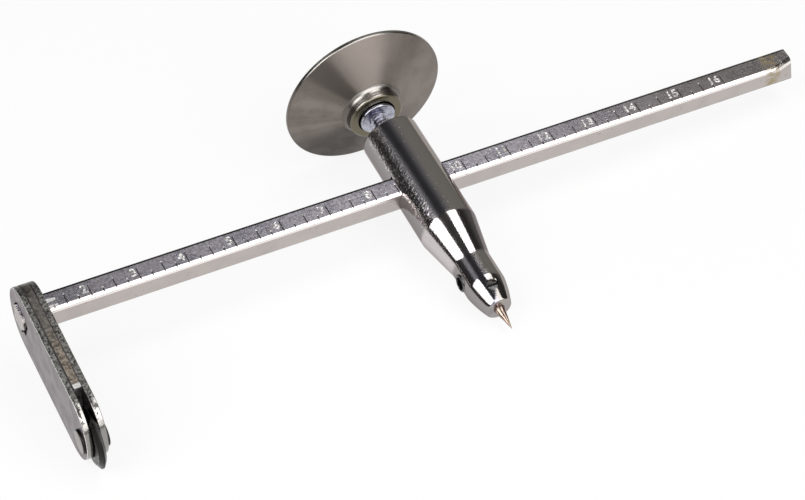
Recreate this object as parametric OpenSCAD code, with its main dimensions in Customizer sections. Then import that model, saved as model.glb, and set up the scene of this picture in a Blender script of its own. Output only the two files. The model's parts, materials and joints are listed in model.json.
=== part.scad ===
// Circle cutter: a square scale beam slides through a turned body that carries the centre point.
// An arm at the end of the beam holds the cutting wheel, and a palm disc turns the clamp screw.
// Every piece is drawn on the tool's own axes: the tip of the point at zero, Z up the body
// towards the disc, X along the beam away from the arm. lay() then sets the tool down on its
// side, where it rests on the disc's rim, the shoulder of the nose and the back of the arm.

/* [Scale beam] */
// Side of the square beam
beam_side = 6.35; // [5.5:0.05:7.2]
// Rounding of the beam's long edges
beam_edge_r = 1; // [0.4:0.05:1.4]
// Length of the beam that stands clear of the arm
beam_len = 211.1; // [170:0.1:300]
// Height of the beam's centre above the tip of the point
beam_z = 50; // [48:0.1:52]
// How far the beam's staked end stands out of the arm
beam_proud = 0.5; // [0.2:0.05:0.6]
// Chamfer round the free end
beam_chamfer = 0.5; // [0.2:0.05:0.9]

/* [Scale] */
// Beam travel for one number of the scale, half an inch of radius
scale_step = 12.7; // [10:0.1:15]
// Marks in one step of the scale
scale_marks = 4; // [2:1:8]
// First number on the beam
scale_first = 2; // [2:1:4]
// Last number on the beam
scale_last = 16; // [8:1:16]
// Distance of the reading edge from the body's axis
scale_offset = 10.5; // [8:0.1:14]
// Width of a mark
mark_w = 0.25; // [0.15:0.05:0.5]
// Depth of a mark
mark_depth = 0.15; // [0.08:0.01:0.3]
// Height of a numbered mark
mark_long = 3.2; // [2:0.1:4]
// Height of a plain mark
mark_short = 1.4; // [0.8:0.1:2]

/* [Arm and wheel] */
// Radius that the beam is set to, from the point to the wheel
cut_r = 104.8; // [40:0.1:140]
// Width of the arm
arm_w = 18; // [17:0.1:20]
// Height of the arm's top above the tip of the point
arm_top = 57.5; // [56.5:0.1:62]
// Height of the arm's lower end above the tip of the point
arm_bottom = 7; // [6.6:0.1:7.2]
// Thickness of each of the two plates
plate_t = 1.6; // [1.2:0.1:2.4]
// Thickness of the spacer, which is the width of the wheel's slot
spacer_t = 2.2; // [1.8:0.05:2.6]
// Diameter of the cutting wheel
wheel_d = 15.5; // [15:0.1:16]
// Gap between the wheel and each plate
wheel_side_gap = 0.15; // [0.1:0.01:0.25]
// Radial width of the wheel's bevel
wheel_bevel = 1.2; // [0.8:0.1:2]
// Width left on the wheel's edge
wheel_edge_t = 0.3; // [0.1:0.05:0.6]
// Height of the wheel's axle above the tip of the point
wheel_z = 10.6; // [10.5:0.1:11.2]
// Gap between the wheel's edge and the end of the spacer
wheel_top_gap = 0.65; // [0.3:0.05:1]
// Diameter of the wheel's axle
axle_d = 4; // [3:0.1:5]
// Diameter of the axle's riveted heads
axle_head_d = 6.2; // [5.6:0.1:6.5]
// Height of the axle's riveted heads
axle_head_h = 0.7; // [0.5:0.05:0.9]
// Rounding of the edge of these heads
axle_edge_r = 0.3; // [0.1:0.05:0.4]

/* [Handle body] */
// Diameter of the body
body_d = 15.2; // [14:0.1:18]
// Height of the body's top
body_top = 67.8; // [65:0.1:70]
// Chamfer round the body's top
body_chamfer = 0.5; // [0.2:0.1:1]
// Height where the taper to the nose starts
taper_top = 33.9; // [31:0.1:38]
// Height where the taper meets the nose
taper_bottom = 21.8; // [21.4:0.1:25]
// Diameter of the nose
nose_d = 10.5; // [9.8:0.1:11.5]
// Height of the nose's shoulder, where it starts to round in
nose_shoulder = 13.8; // [13.4:0.1:14.6]
// Height of the nose's end
nose_end = 6.6; // [5.5:0.1:7.5]
// Diameter of the nose's end
nose_end_d = 6.6; // [5.5:0.1:7.5]
// Radius of the curve between the shoulder and the end
nose_curve_r = 35; // [20:1:80]

/* [Centre point] */
// Diameter of the point
point_d = 2.8; // [2:0.1:3.6]
// Length of the point held in the nose
point_seat = 19.5; // [18:0.5:24]
// Diameter left on the tip
point_tip_d = 0.16; // [0.1:0.02:0.3]
// Diameter of the socket screw in the side of the nose
set_screw_d = 4.6; // [4.4:0.1:5]
// Height of the socket screw
set_screw_z = 17.5; // [17:0.1:18]
// How far the socket screw stands out of the nose
set_screw_proud = 0.2; // [0.1:0.1:1]
// Width across flats of the socket
set_screw_socket = 3.2; // [2.6:0.1:3.4]
// Depth of the socket
set_screw_socket_depth = 1.8; // [1:0.1:2.2]
// Diameter of the grub screw in the front of the nose
grub_d = 3; // [2.4:0.1:3.4]
// Height of the grub screw
grub_z = 11.2; // [10.8:0.1:11.6]
// How far the grub screw's end lies below the surface of the nose
grub_recess = 0.5; // [0.2:0.1:0.8]
// Width of the grub screw's slot
grub_slot_w = 0.6; // [0.4:0.1:0.8]
// Depth of the grub screw's slot
grub_slot_depth = 0.7; // [0.4:0.1:1]

/* [Palm disc] */
// Diameter of the disc
disc_d = 43.5; // [40:0.5:50]
// Thickness of the disc's sheet
disc_t = 1.1; // [0.8:0.1:1.6]
// Gap between the body's top and the hub's mouth, with the beam clamped
hub_gap = 7.9; // [5:0.1:12]
// Slope of the dish
dish_angle = 19.2; // [17:0.1:21]
// Depth of the hub's mouth below the rim's lower edge
hub_drop = 8; // [7.6:0.1:8.4]
// Diameter of the hub's collar
hub_d = 14.8; // [14:0.1:16]
// Rounding of the collar's mouth
hub_lip_r = 0.7; // [0.3:0.05:0.9]
// Fillet between the collar and the dish
hub_fillet_r = 1.6; // [1:0.1:2]
// Diameter of the cup in the hub
cup_d = 10.2; // [10:0.1:11.4]
// Depth of the cup
cup_depth = 2.8; // [2.4:0.1:3]
// Thickness of the web that the screw clamps
web_t = 1.4; // [1:0.1:1.8]

/* [Clamp] */
// Diameter of the clamp screw's thread
screw_d = 4.8; // [4:0.1:5.2]
// Diameter of the clamp screw's head
head_d = 9.4; // [8:0.1:11]
// Height of the clamp screw's head
head_h = 2.2; // [1.6:0.1:2.6]
// Width of the slot in the head
head_slot_w = 1.2; // [0.8:0.1:1.6]
// Depth of the slot in the head
head_slot_depth = 1; // [0.6:0.1:1.2]
// Width across flats of the nut
nut_flats = 8.4; // [8:0.1:8.5]
// Thickness of the nut
nut_t = 3; // [2.4:0.1:3.6]
// Outer diameter of the lock washer
washer_d = 7.9; // [7.4:0.1:8.2]
// Thickness of the lock washer
washer_t = 0.8; // [0.5:0.1:1.2]
// Length of the shoe between the clamp screw and the beam
shoe_len = 3; // [2:0.1:4]

/* [Fits] */
// Clearance of a running or sliding fit, each side
run_fit = 0.05; // [0.02:0.01:0.1]
// Clearance of a piece that is fixed in its hole, each side
seat_fit = 0.02; // [0.01:0.01:0.05]
// Chamfer of a screw's end or a nut's corners
screw_chamfer = 0.4; // [0.2:0.05:0.6]

/* [Hidden] */
$fn = 96;
// Length by which a cut runs past the face it opens
over = 1;

beam_h = beam_side / 2;
wheel_r = wheel_d / 2;
wheel_t = spacer_t - 2 * wheel_side_gap;
arm_r = arm_w / 2;
body_r = body_d / 2;
nose_r = nose_d / 2;
nose_end_r = nose_end_d / 2;
disc_r = disc_d / 2;
hub_r = hub_d / 2;
screw_r = screw_d / 2;
point_r = point_d / 2;

// The arm's layers across X, from the wheel's plane outwards
spacer_in = -cut_r + spacer_t / 2;
spacer_out = -cut_r - spacer_t / 2;
arm_in = spacer_in + plate_t;
arm_out = spacer_out - plate_t;
arm_low_z = arm_bottom + arm_r;
arm_high_z = arm_top - arm_r;
spacer_end = wheel_z + wheel_r + wheel_top_gap;
beam_start = arm_out - beam_proud;
beam_end = arm_in + beam_len;

// Heights up the clamp, from the hub's mouth to the screw's head and down to the beam
mouth_z = body_top + hub_gap;
rim_z = mouth_z + hub_drop;
web_low = mouth_z + cup_depth;
web_top = web_low + web_t;
nut_top = web_low - washer_t;
nut_low = nut_top - nut_t;
shoe_low = beam_z + beam_h + run_fit;
shoe_high = shoe_low + shoe_len;
screw_low = shoe_high + seat_fit;

// Where the tool rests: lean sets the shoulder of the nose and the disc's rim on the floor,
// tilt then brings down the back of the arm's inner plate
lean = atan((disc_r - nose_r) / (rim_z - nose_shoulder));
floor_h = nose_shoulder * sin(lean) - nose_r * cos(lean);
arm_drop = arm_low_z * sin(lean) - floor_h;
tilt = acos(arm_drop / norm([arm_r, arm_in])) - atan2(-arm_in, arm_r);
roll = -acos(sin(lean) / cos(tilt));

// Middle of the resting tool's box, so that the origin lies under it on the floor
end_height = -beam_h * sin(roll) + (beam_z + beam_h) * cos(roll);
x_high = beam_end * cos(tilt) + end_height * sin(tilt);
axle_height = wheel_z * cos(roll) - axle_head_d / 2 + axle_edge_r;
x_low = (arm_out - axle_head_h) * cos(tilt) + axle_height * sin(tilt);
y_high = disc_r * cos(roll) - (rim_z + disc_t / cos(dish_angle)) * sin(roll);
rest_origin = [(x_low + x_high) / 2, y_high / 2, floor_h];

// The same place for every piece: the tool lying on its side
module lay() {
    translate(-rest_origin)
        rotate([0, tilt, 0])
            rotate([roll, 0, 0])
                children();
}

// A round bar along X, from x = a to x = b at height z
module bar_x(r, a, b, z) {
    translate([a, 0, z])
        rotate([0, 90, 0])
            cylinder(r = r, h = b - a);
}

// Points of an arc about c, from angle a to angle b
function arc(c, r, a, b, steps = 8) =
    [for (i = [0:steps]) c + r * [cos(a + (b - a) * i / steps), sin(a + (b - a) * i / steps)]];

// Square with rounded corners, from circles so that the corners stay true arcs
module round_square(side, r) {
    in = side / 2 - r;
    square([side, 2 * in], center = true);
    square([2 * in, side], center = true);
    for (x = [-in, in], y = [-in, in])
        translate([x, y])
            circle(r);
}

// Outline of an arm plate with full round ends, drawn on the Y and Z axes
module arm_outline(low) {
    intersection() {
        union() {
            translate([-arm_r, arm_low_z])
                square([arm_w, arm_high_z - arm_low_z]);
            for (z = [arm_low_z, arm_high_z])
                translate([0, z])
                    circle(arm_r);
        }
        translate([-arm_r, low])
            square([arm_w, arm_top - low]);
    }
}

// A sheet of the arm between x = a and x = b, cut off below the height low
module arm_sheet(a, b, low) {
    translate([a, 0, 0])
        rotate([90, 0, 90])
            linear_extrude(b - a)
                arm_outline(low);
}

// A sheet of the arm with the square hole that the beam passes through
module pierced_sheet(a, b, low) {
    hole = beam_side + 2 * seat_fit;
    difference() {
        arm_sheet(a, b, low);
        translate([a - over, -hole / 2, beam_z - hole / 2])
            cube([b - a + 2 * over, hole, hole]);
    }
}

// A riveted head with a rounded edge on the negative X side of x = face
module rivet_head(face) {
    r = axle_head_d / 2;
    translate([face, 0, wheel_z])
        rotate([0, -90, 0])
            rotate_extrude()
                polygon(concat(
                    [[0, 0], [r, 0]],
                    arc([r - axle_edge_r, axle_head_h - axle_edge_r], axle_edge_r, 0, 90),
                    [[0, axle_head_h]]
                ));
}

// Half section of the body from the nose's end to its top
module body_section() {
    shoulder = [nose_r, nose_shoulder];
    end = [nose_end_r, nose_end];
    chord = shoulder - end;
    inward = [-chord[1], chord[0]] / norm(chord);
    reach = sqrt(nose_curve_r * nose_curve_r - norm(chord) * norm(chord) / 4);
    polygon([
        [0, nose_shoulder], shoulder, [nose_r, taper_bottom], [body_r, taper_top],
        [body_r, body_top - body_chamfer], [body_r - body_chamfer, body_top], [0, body_top]
    ]);
    intersection() {
        translate((shoulder + end) / 2 + inward * reach)
            circle(nose_curve_r, $fn = 360);
        translate([0, nose_end])
            square([nose_r, nose_shoulder - nose_end]);
    }
}

// Height of the dish's underside at radius r
function dish_z(r) = rim_z - (disc_r - r) * tan(dish_angle);

// Half section of the palm disc: cup, collar, dish and rim
function disc_section() =
    let (
        up = disc_t / cos(dish_angle),
        fillet_c = [hub_r + hub_fillet_r, dish_z(hub_r + hub_fillet_r) - hub_fillet_r / cos(dish_angle)],
        floor_r = disc_r - (rim_z + up - web_top) / tan(dish_angle)
    )
    concat(
        [[screw_r + seat_fit, web_low], [cup_d / 2, web_low], [cup_d / 2, mouth_z]],
        arc([hub_r - hub_lip_r, mouth_z + hub_lip_r], hub_lip_r, -90, 0),
        arc(fillet_c, hub_fillet_r, 180, 90 + dish_angle),
        [[disc_r, rim_z], [disc_r, rim_z + up], [floor_r, web_top], [screw_r + seat_fit, web_top]]
    );

// Places of the scale's marks along X, with the height of each
function mark_x(i) = -cut_r - scale_offset + scale_step * (scale_first + i / scale_marks);
function mark_h(i) = i % scale_marks == 0 ? mark_long : mark_short;
mark_count = (scale_last - scale_first) * scale_marks;

module handle_body() {
    hole = beam_side + 2 * run_fit;
    color("dimgray")
        lay()
            difference() {
                rotate_extrude()
                    body_section();
                translate([0, 0, beam_z])
                    cube([body_d + 2 * over, hole, hole], center = true);
                translate([0, 0, beam_z])
                    cylinder(r = screw_r + run_fit, h = body_top - beam_z + over);
                translate([0, 0, nose_end - over])
                    cylinder(r = point_r + seat_fit, h = point_seat + over);
                bar_x(set_screw_d / 2 + seat_fit, -body_r, 0, set_screw_z);
                rotate([0, 0, 90])
                    bar_x(grub_d / 2 + seat_fit, -body_r, 0, grub_z);
            }
}

module centre_point() {
    color("rosybrown")
        lay()
            union() {
                cylinder(r1 = point_tip_d / 2, r2 = point_r, h = nose_end);
                translate([0, 0, nose_end])
                    cylinder(r = point_r, h = point_seat);
            }
}

module point_set_screw() {
    face = -nose_r - set_screw_proud;
    socket_r = set_screw_socket / 2 / cos(30);
    color("gray")
        lay()
            difference() {
                bar_x(set_screw_d / 2, face, -point_r - seat_fit, set_screw_z);
                translate([face - over, 0, set_screw_z])
                    rotate([0, 90, 0])
                        cylinder(r = socket_r, h = set_screw_socket_depth + over, $fn = 6);
            }
}

module point_grub_screw() {
    share = (grub_z - nose_end) / (nose_shoulder - nose_end);
    face = -(nose_end_r + (nose_r - nose_end_r) * share) + grub_recess;
    color("lightslategray")
        lay()
            rotate([0, 0, 90])
                difference() {
                    bar_x(grub_d / 2, face, -point_r - seat_fit, grub_z);
                    translate([face, 0, grub_z])
                        cube([2 * grub_slot_depth, grub_d + 2 * over, grub_slot_w], center = true);
                }
}

module scale_beam() {
    color("silver")
        lay()
            difference() {
                translate([beam_start, 0, beam_z])
                    rotate([90, 0, 90])
                        linear_extrude(beam_end - beam_start)
                            round_square(beam_side, beam_edge_r);
                for (turn = [0:90:270])
                    translate([beam_end, 0, beam_z])
                        rotate([turn, 0, 0])
                            translate([0, 0, beam_h - beam_chamfer])
                                rotate([0, 45, 0])
                                    translate([0, -beam_side, 0])
                                        cube([2 * beam_side, 2 * beam_side, 2 * beam_side]);
                for (i = [0:mark_count])
                    translate([mark_x(i) - mark_w / 2, -beam_h - over, beam_z - beam_h - over])
                        cube([mark_w, mark_depth + over, mark_h(i) + over]);
            }
}

module arm_outer_plate() {
    color("thistle")
        lay()
            difference() {
                pierced_sheet(arm_out, spacer_out, arm_bottom);
                bar_x(axle_d / 2 + seat_fit, arm_out - over, spacer_out + over, wheel_z);
            }
}

module arm_spacer() {
    color("tan")
        lay()
            pierced_sheet(spacer_out, spacer_in, spacer_end);
}

module arm_inner_plate() {
    color("gray")
        lay()
            difference() {
                pierced_sheet(spacer_in, arm_in, arm_bottom);
                bar_x(axle_d / 2 + seat_fit, spacer_in - over, arm_in + over, wheel_z);
            }
}

module wheel_axle() {
    color("lightgray")
        lay()
            union() {
                rivet_head(arm_out);
                bar_x(axle_d / 2, arm_out, arm_in, wheel_z);
                mirror([1, 0, 0])
                    rivet_head(-arm_in);
            }
}

module cutter_wheel() {
    flat_r = wheel_r - wheel_bevel;
    color("darkslategray")
        lay()
            translate([-cut_r, 0, wheel_z])
                rotate([0, 90, 0])
                    rotate_extrude()
                        polygon([
                            [axle_d / 2 + run_fit, -wheel_t / 2], [flat_r, -wheel_t / 2],
                            [wheel_r, -wheel_edge_t / 2], [wheel_r, wheel_edge_t / 2],
                            [flat_r, wheel_t / 2], [axle_d / 2 + run_fit, wheel_t / 2]
                        ]);
}

module palm_disc() {
    color("gray")
        lay()
            rotate_extrude()
                polygon(disc_section());
}

module clamp_screw() {
    head_top = web_top + head_h;
    head_r = head_d / 2;
    color("lightsteelblue")
        lay()
            difference() {
                rotate_extrude()
                    polygon([
                        [0, screw_low], [screw_r - screw_chamfer, screw_low],
                        [screw_r, screw_low + screw_chamfer], [screw_r, web_top],
                        [head_r, web_top], [head_r, head_top - screw_chamfer],
                        [head_r - screw_chamfer, head_top], [0, head_top]
                    ]);
                translate([0, 0, head_top])
                    cube([head_d + over, head_slot_w, 2 * head_slot_depth], center = true);
            }
}

module lock_washer() {
    color("lightsteelblue")
        lay()
            translate([0, 0, nut_top])
                difference() {
                    cylinder(d = washer_d, h = washer_t);
                    translate([0, 0, -over])
                        cylinder(r = screw_r + seat_fit, h = washer_t + 2 * over);
                }
}

module lock_nut() {
    corner_r = nut_flats / 2 / cos(30);
    color("lightsteelblue")
        lay()
            translate([0, 0, nut_low])
                difference() {
                    intersection() {
                        cylinder(r = corner_r, h = nut_t, $fn = 6);
                        rotate_extrude()
                            polygon([
                                [0, 0], [corner_r - screw_chamfer, 0], [corner_r, screw_chamfer],
                                [corner_r, nut_t], [0, nut_t]
                            ]);
                    }
                    translate([0, 0, -over])
                        cylinder(r = screw_r + seat_fit, h = nut_t + 2 * over);
                }
}

module clamp_shoe() {
    color("goldenrod")
        lay()
            translate([0, 0, shoe_low])
                cylinder(r = screw_r, h = shoe_len);
}

handle_body();
centre_point();
point_set_screw();
point_grub_screw();
scale_beam();
arm_outer_plate();
arm_spacer();
arm_inner_plate();
wheel_axle();
cutter_wheel();
palm_disc();
clamp_screw();
lock_washer();
lock_nut();
clamp_shoe();
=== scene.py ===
"""Models a circle cutter's pieces round its packed frame, with finishes, floor, light and camera."""
import json
from math import atan2, cos, hypot, pi, radians, sin, sqrt, tan
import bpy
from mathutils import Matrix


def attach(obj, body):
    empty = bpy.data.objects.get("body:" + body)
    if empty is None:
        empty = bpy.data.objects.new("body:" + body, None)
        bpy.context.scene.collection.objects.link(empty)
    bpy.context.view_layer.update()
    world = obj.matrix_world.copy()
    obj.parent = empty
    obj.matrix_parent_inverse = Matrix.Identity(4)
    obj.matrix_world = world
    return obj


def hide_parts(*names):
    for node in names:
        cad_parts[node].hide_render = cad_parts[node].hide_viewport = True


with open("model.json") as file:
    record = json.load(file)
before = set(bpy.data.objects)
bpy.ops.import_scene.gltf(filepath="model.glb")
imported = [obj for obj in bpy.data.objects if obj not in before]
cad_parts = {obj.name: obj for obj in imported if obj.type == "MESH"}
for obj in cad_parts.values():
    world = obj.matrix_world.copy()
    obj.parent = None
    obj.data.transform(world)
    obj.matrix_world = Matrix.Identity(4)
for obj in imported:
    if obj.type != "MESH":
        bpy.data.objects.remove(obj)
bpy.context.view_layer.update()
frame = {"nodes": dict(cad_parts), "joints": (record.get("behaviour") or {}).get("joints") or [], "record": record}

from types import SimpleNamespace

import bmesh
import bpy
from bpy.props import FloatProperty, FloatVectorProperty, IntProperty, PointerProperty
from mathutils import Matrix, Vector

bl_info = {
    "name": "Circle cutter",
    "version": (1, 0, 0),
    "blender": (4, 5, 0),
    "location": "View3D > Sidebar > Circle cutter",
    "description": "Models and finishes the pieces of a circle cutter",
    "category": "Add Mesh",
}

# One millimetre in metres. Pieces are modelled in millimetres on the tool's axes
MM = 0.001
# Distance under which two vertices are one, in millimetres
MERGE = 0.0005
# Steps of a full turn: of what is large, of what is small and of the thread
FINE_STEPS = 192
SMALL_STEPS = 64
THREAD_STEPS = 40
# Turns by which the thread is made too long at each end, before it is cut to length
SPARE_TURNS = 2
# Length by which a cutter runs past the face that it opens, in millimetres
OVER = 1.0
# Edges that turn by less than this are straight
STRAIGHT = radians(2)

# Width of the sloped side of a number punch, as a share of the letters' size
PUNCH_SLOPE = 0.038
# Long edges of the beam that turn by less than this belong to the filed end
FILED_TURN = radians(50)
# Punch dents: lowest, highest and tip height over the beam's lower edge, in millimetres
STAKE_HEIGHTS = ((2.4, 4.2, 3.3), (0.6, 1.8, 1.5))
# Half the height of a dent's tip, and how far over the face it runs out
STAKE_TIP = 0.2
STAKE_LIFT = 0.05
# Broken wedge: Y where it starts, height at the beam's side, and Y and height of its inner corner
BROKEN_START = 0.2
BROKEN_SIDE = 1.4
BROKEN_INNER = (2.3, 1.7)
# Open corner in the outer plate's hole: Y where it starts and Y of its tip
GAP_START = -2.4
GAP_TIP = -2.0
# X part of a normal, under which a face of a sheet is its rim and over which it is its flat face
RIM_TILT = 0.4
FACE_TILT = 0.9

# Slots of the beam's finishes after its steel, and of a sheet's after its face
BEAM_DIRT_AND_SHADE, BEAM_STAMPING_GLINT, BEAM_DENT_GLINT = 1, 2, 3
ARM_RIM, ARM_DIRT_AND_SHADE, ARM_WORN_GLINT = 1, 2, 3
# Least tone of the painted glint on the dents and on the outer plate's edge
DENT_GLINT_TONE = 0.9
WORN_GLINT_TONE = 0.75

# Studio, in metres: half the floor's side, radius of the walls and distance of the lamps
FLOOR_HALF = 4
WALL_RADIUS = 1.8
LAMP_DISTANCE = 0.8

RECORD = frame["record"]
JOINTS = {joint["name"]: joint for joint in frame["joints"]}
BODY_OF = {node: body for body, nodes in RECORD["behaviour"]["bodies"].items() for node in nodes}


# The tool's axes

def tool_matrix():
    """The tool's axes in the frame: X along the beam, Z up the body, zero at the tip of the point."""
    along = Vector(JOINTS["beam_slide"]["axis"]).normalized()
    up = Vector(JOINTS["clamp_turn"]["axis"]).normalized()
    turn = Matrix((along, up.cross(along), up)).transposed().to_4x4()
    return Matrix.Translation(JOINTS["clamp_turn"]["pos_m"]) @ turn


TOOL = tool_matrix()


def span(node):
    """Lowest and highest corner of a CAD node along the tool's axes, in millimetres."""
    back = TOOL.inverted()
    points = [back @ vertex.co / MM for vertex in frame["nodes"][node].data.vertices]
    low = Vector([min(point[axis] for point in points) for axis in range(3)])
    high = Vector([max(point[axis] for point in points) for axis in range(3)])
    return low, high


BODY_LOW, BODY_HIGH = span("handle_body")
_, POINT_HIGH = span("centre_point")
SET_LOW, SET_HIGH = span("point_set_screw")
GRUB_LOW, GRUB_HIGH = span("point_grub_screw")
BEAM_LOW, BEAM_HIGH = span("scale_beam")
OUTER_LOW, OUTER_HIGH = span("arm_outer_plate")
SPACER_LOW, SPACER_HIGH = span("arm_spacer")
INNER_LOW, INNER_HIGH = span("arm_inner_plate")
AXLE_LOW, AXLE_HIGH = span("wheel_axle")
WHEEL_LOW, WHEEL_HIGH = span("cutter_wheel")
DISC_LOW, DISC_HIGH = span("palm_disc")
SCREW_LOW, SCREW_HIGH = span("clamp_screw")
WASHER_LOW, WASHER_HIGH = span("lock_washer")
NUT_LOW, NUT_HIGH = span("lock_nut")
SHOE_LOW, SHOE_HIGH = span("clamp_shoe")

BEAM_Z = (BEAM_LOW.z + BEAM_HIGH.z) / 2
WHEEL_CENTRE = (WHEEL_LOW + WHEEL_HIGH) / 2
SET_Z = (SET_LOW.z + SET_HIGH.z) / 2
GRUB_Z = (GRUB_LOW.z + GRUB_HIGH.z) / 2


# Properties

def length(name, default, description):
    """A length property, with its default in millimetres."""
    return FloatProperty(
        name=name, description=description, default=default * MM, min=0, precision=5, unit="LENGTH"
    )


def degrees_of(name, default, description):
    """An angle property, with its default in degrees."""
    return FloatProperty(name=name, description=description, default=radians(default), subtype="ANGLE")


def number(name, default, description):
    """A plain number of zero or more."""
    return FloatProperty(name=name, description=description, default=default, min=0)


def colour(name, default, description):
    """A colour property."""
    return FloatVectorProperty(
        name=name, description=description, default=default, size=3, min=0, max=1, subtype="COLOR"
    )


def in_mm(group):
    """The lengths of a property group in millimetres, by name."""
    kinds = group.bl_rna.properties.items()
    lengths = [key for key, kind in kinds if kind.type == "FLOAT" and kind.unit == "LENGTH"]
    return SimpleNamespace(**{key: getattr(group, key) / MM for key in lengths})


class BodySizes(bpy.types.PropertyGroup):
    """Sizes of the turned body and its point"""

    radius: length("Body radius", BODY_HIGH.x, "Radius of the body")
    taper_top: length("Taper top", 33.9, "Height where the taper starts")
    taper_bottom: length("Taper bottom", 21.8, "Height where the taper meets the nose")
    nose_radius: length("Nose radius", 5.25, "Radius of the nose")
    shoulder: length("Shoulder", 13.8, "Height where the nose starts to round in")
    end_radius: length("Nose end radius", 3.3, "Radius of the nose's end")
    nose_curve: length("Nose curve", 35, "Radius of the curve from the shoulder to the end")
    edge_round: length("Edge rounding", 0.4, "Rounding of the edges between the turned faces")
    fit: length("Hole clearance", 0.03, "Clearance round a screw in its hole")
    beam_fit: length("Beam clearance", 0.05, "Clearance round the beam in its hole")
    tip_radius: length("Tip radius", 0.08, "Radius left on the tip of the point")
    socket: length("Socket", 3.2, "Width across flats of the socket")
    socket_depth: length("Socket depth", 1.8, "Depth of the socket")
    slot_width: length("Slot width", 0.6, "Width of the grub screw's slot")
    slot_depth: length("Slot depth", 0.7, "Depth of the grub screw's slot")
    grub_round: length("Grub rounding", 0.12, "Rounding of the grub screw's end")
    lip: length("Hole lip", 0.15, "Width of the broken edge round the grub screw's hole and the socket")


class BeamSizes(bpy.types.PropertyGroup):
    """Sizes of the scale beam and its stamping"""

    edge: length("Edge radius", 1, "Rounding of the long edges")
    chamfer: length("End chamfer", 0.5, "Chamfer round the free end")
    step: length("Scale step", 12.7, "Beam travel from one number to the next")
    zero: length("Scale zero", 10.5, "Distance of the reading edge from the body's axis")
    mark_width: length("Mark width", 0.3, "Width of a mark")
    long_mark: length("Numbered mark", 4.2, "Height of a numbered mark")
    half_mark: length("Half mark", 3.8, "Height of a half mark")
    short_mark: length("Quarter mark", 2.1, "Height of a quarter mark")
    mark_end: length("Mark end", 0.36, "Side of the bright pit at a mark's upper end")
    broken: length("Broken corner", 1.0, "Depth of the wedge missing from the staked end")
    digit_height: length("Digit height", 2.65, "Height of the stamped digits")
    digit_base: length("Digit base", 1.95, "Height of the digits' feet above the beam's lower edge")
    digit_gap: length("Digit gap", 0.4, "Gap between a digit and its mark")
    digit_depth: length("Digit depth", 0.16, "Depth of the stamping")
    filed: length("Filed length", 7, "Length of the filed edge at the free end")
    filed_depth: length("Filed depth", 1.9, "Height of the filed edge at the free end")
    stake: length("Stake length", 4.2, "Length of the dents that stake the beam in the arm")
    stake_depth: length("Stake depth", 0.35, "Depth of those dents at the arm")


class ScaleNumbers(bpy.types.PropertyGroup):
    """Numbers of the scale"""

    first: IntProperty(name="First number", description="First number on the beam", default=2)
    last: IntProperty(name="Last number", description="Last number on the beam", default=16)
    marks: IntProperty(name="Marks", description="Marks in one step of the scale", default=4)


class ArmSizes(bpy.types.PropertyGroup):
    """Sizes of the arm, its rivet and the wheel"""

    edge: length("Plate edge", 0.22, "Rounding of the plates' edges")
    gap: length("Hole gap", 1.8, "Height of the open corner under the beam in the outer plate's hole")
    axle: length("Axle radius", 2, "Radius of the wheel's axle")
    head: length("Head height", 0.7, "Height of a riveted head")
    head_edge: length("Head edge", 0.3, "Rounding of a riveted head")
    bore_fit: length("Wheel clearance", 0.05, "Clearance of the wheel on its axle")
    bevel: length("Wheel bevel", 1.2, "Radial width of the wheel's bevel")
    wheel_edge: length("Wheel edge", 0.3, "Width left on the wheel's edge")


class DiscSizes(bpy.types.PropertyGroup):
    """Sizes of the palm disc"""

    sheet: length("Sheet", 1.1, "Thickness of the disc's sheet")
    rim: length("Rim height", 8, "Height of the rim's lower edge above the hub's mouth")
    tilt: degrees_of("Dish tilt", 19.2, "Rise of the dish as an angle")
    hub: length("Hub radius", 7.4, "Radius of the collar")
    lip: length("Collar lip", 0.7, "Rounding of the collar's mouth")
    fillet: length("Collar fillet", 1.6, "Fillet between the collar and the dish")
    cup: length("Cup radius", 5.1, "Radius of the cup in the hub")
    cup_depth: length("Cup depth", 2.8, "Depth of the cup")
    web: length("Web", 1.4, "Thickness of the web that the screw clamps")
    edge: length("Rim edge", 0.25, "Rounding of the rim")


class ClampSizes(bpy.types.PropertyGroup):
    """Sizes of the clamp's screw, nut, washer and shoe"""

    thread: length("Thread radius", SHOE_HIGH.x, "Outer radius of the clamp screw's thread")
    pitch: length("Pitch", 1.058, "Rise of the thread in one turn")
    depth: length("Thread depth", 0.5, "Depth of the thread")
    head: length("Head height", 2.2, "Height of the clamp screw's head")
    slot_width: length("Slot width", 1.2, "Width of the slot in the head")
    slot_depth: length("Slot depth", 1, "Depth of the slot in the head")
    flats: length("Nut flats", 8.4, "Width across flats of the nut")
    corner: length("Corner rounding", 0.4, "Rounding of the nut's corners and the screw's head")
    flange: length("Flange", 0.8, "Thickness of the nut's round flange")
    flange_radius: length("Flange radius", 4.85, "Radius of the nut's round flange")
    split: length("Washer split", 0.5, "Width of the cut in the lock washer")
    fit: length("Clearance", 0.03, "Clearance round the clamp screw")


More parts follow.
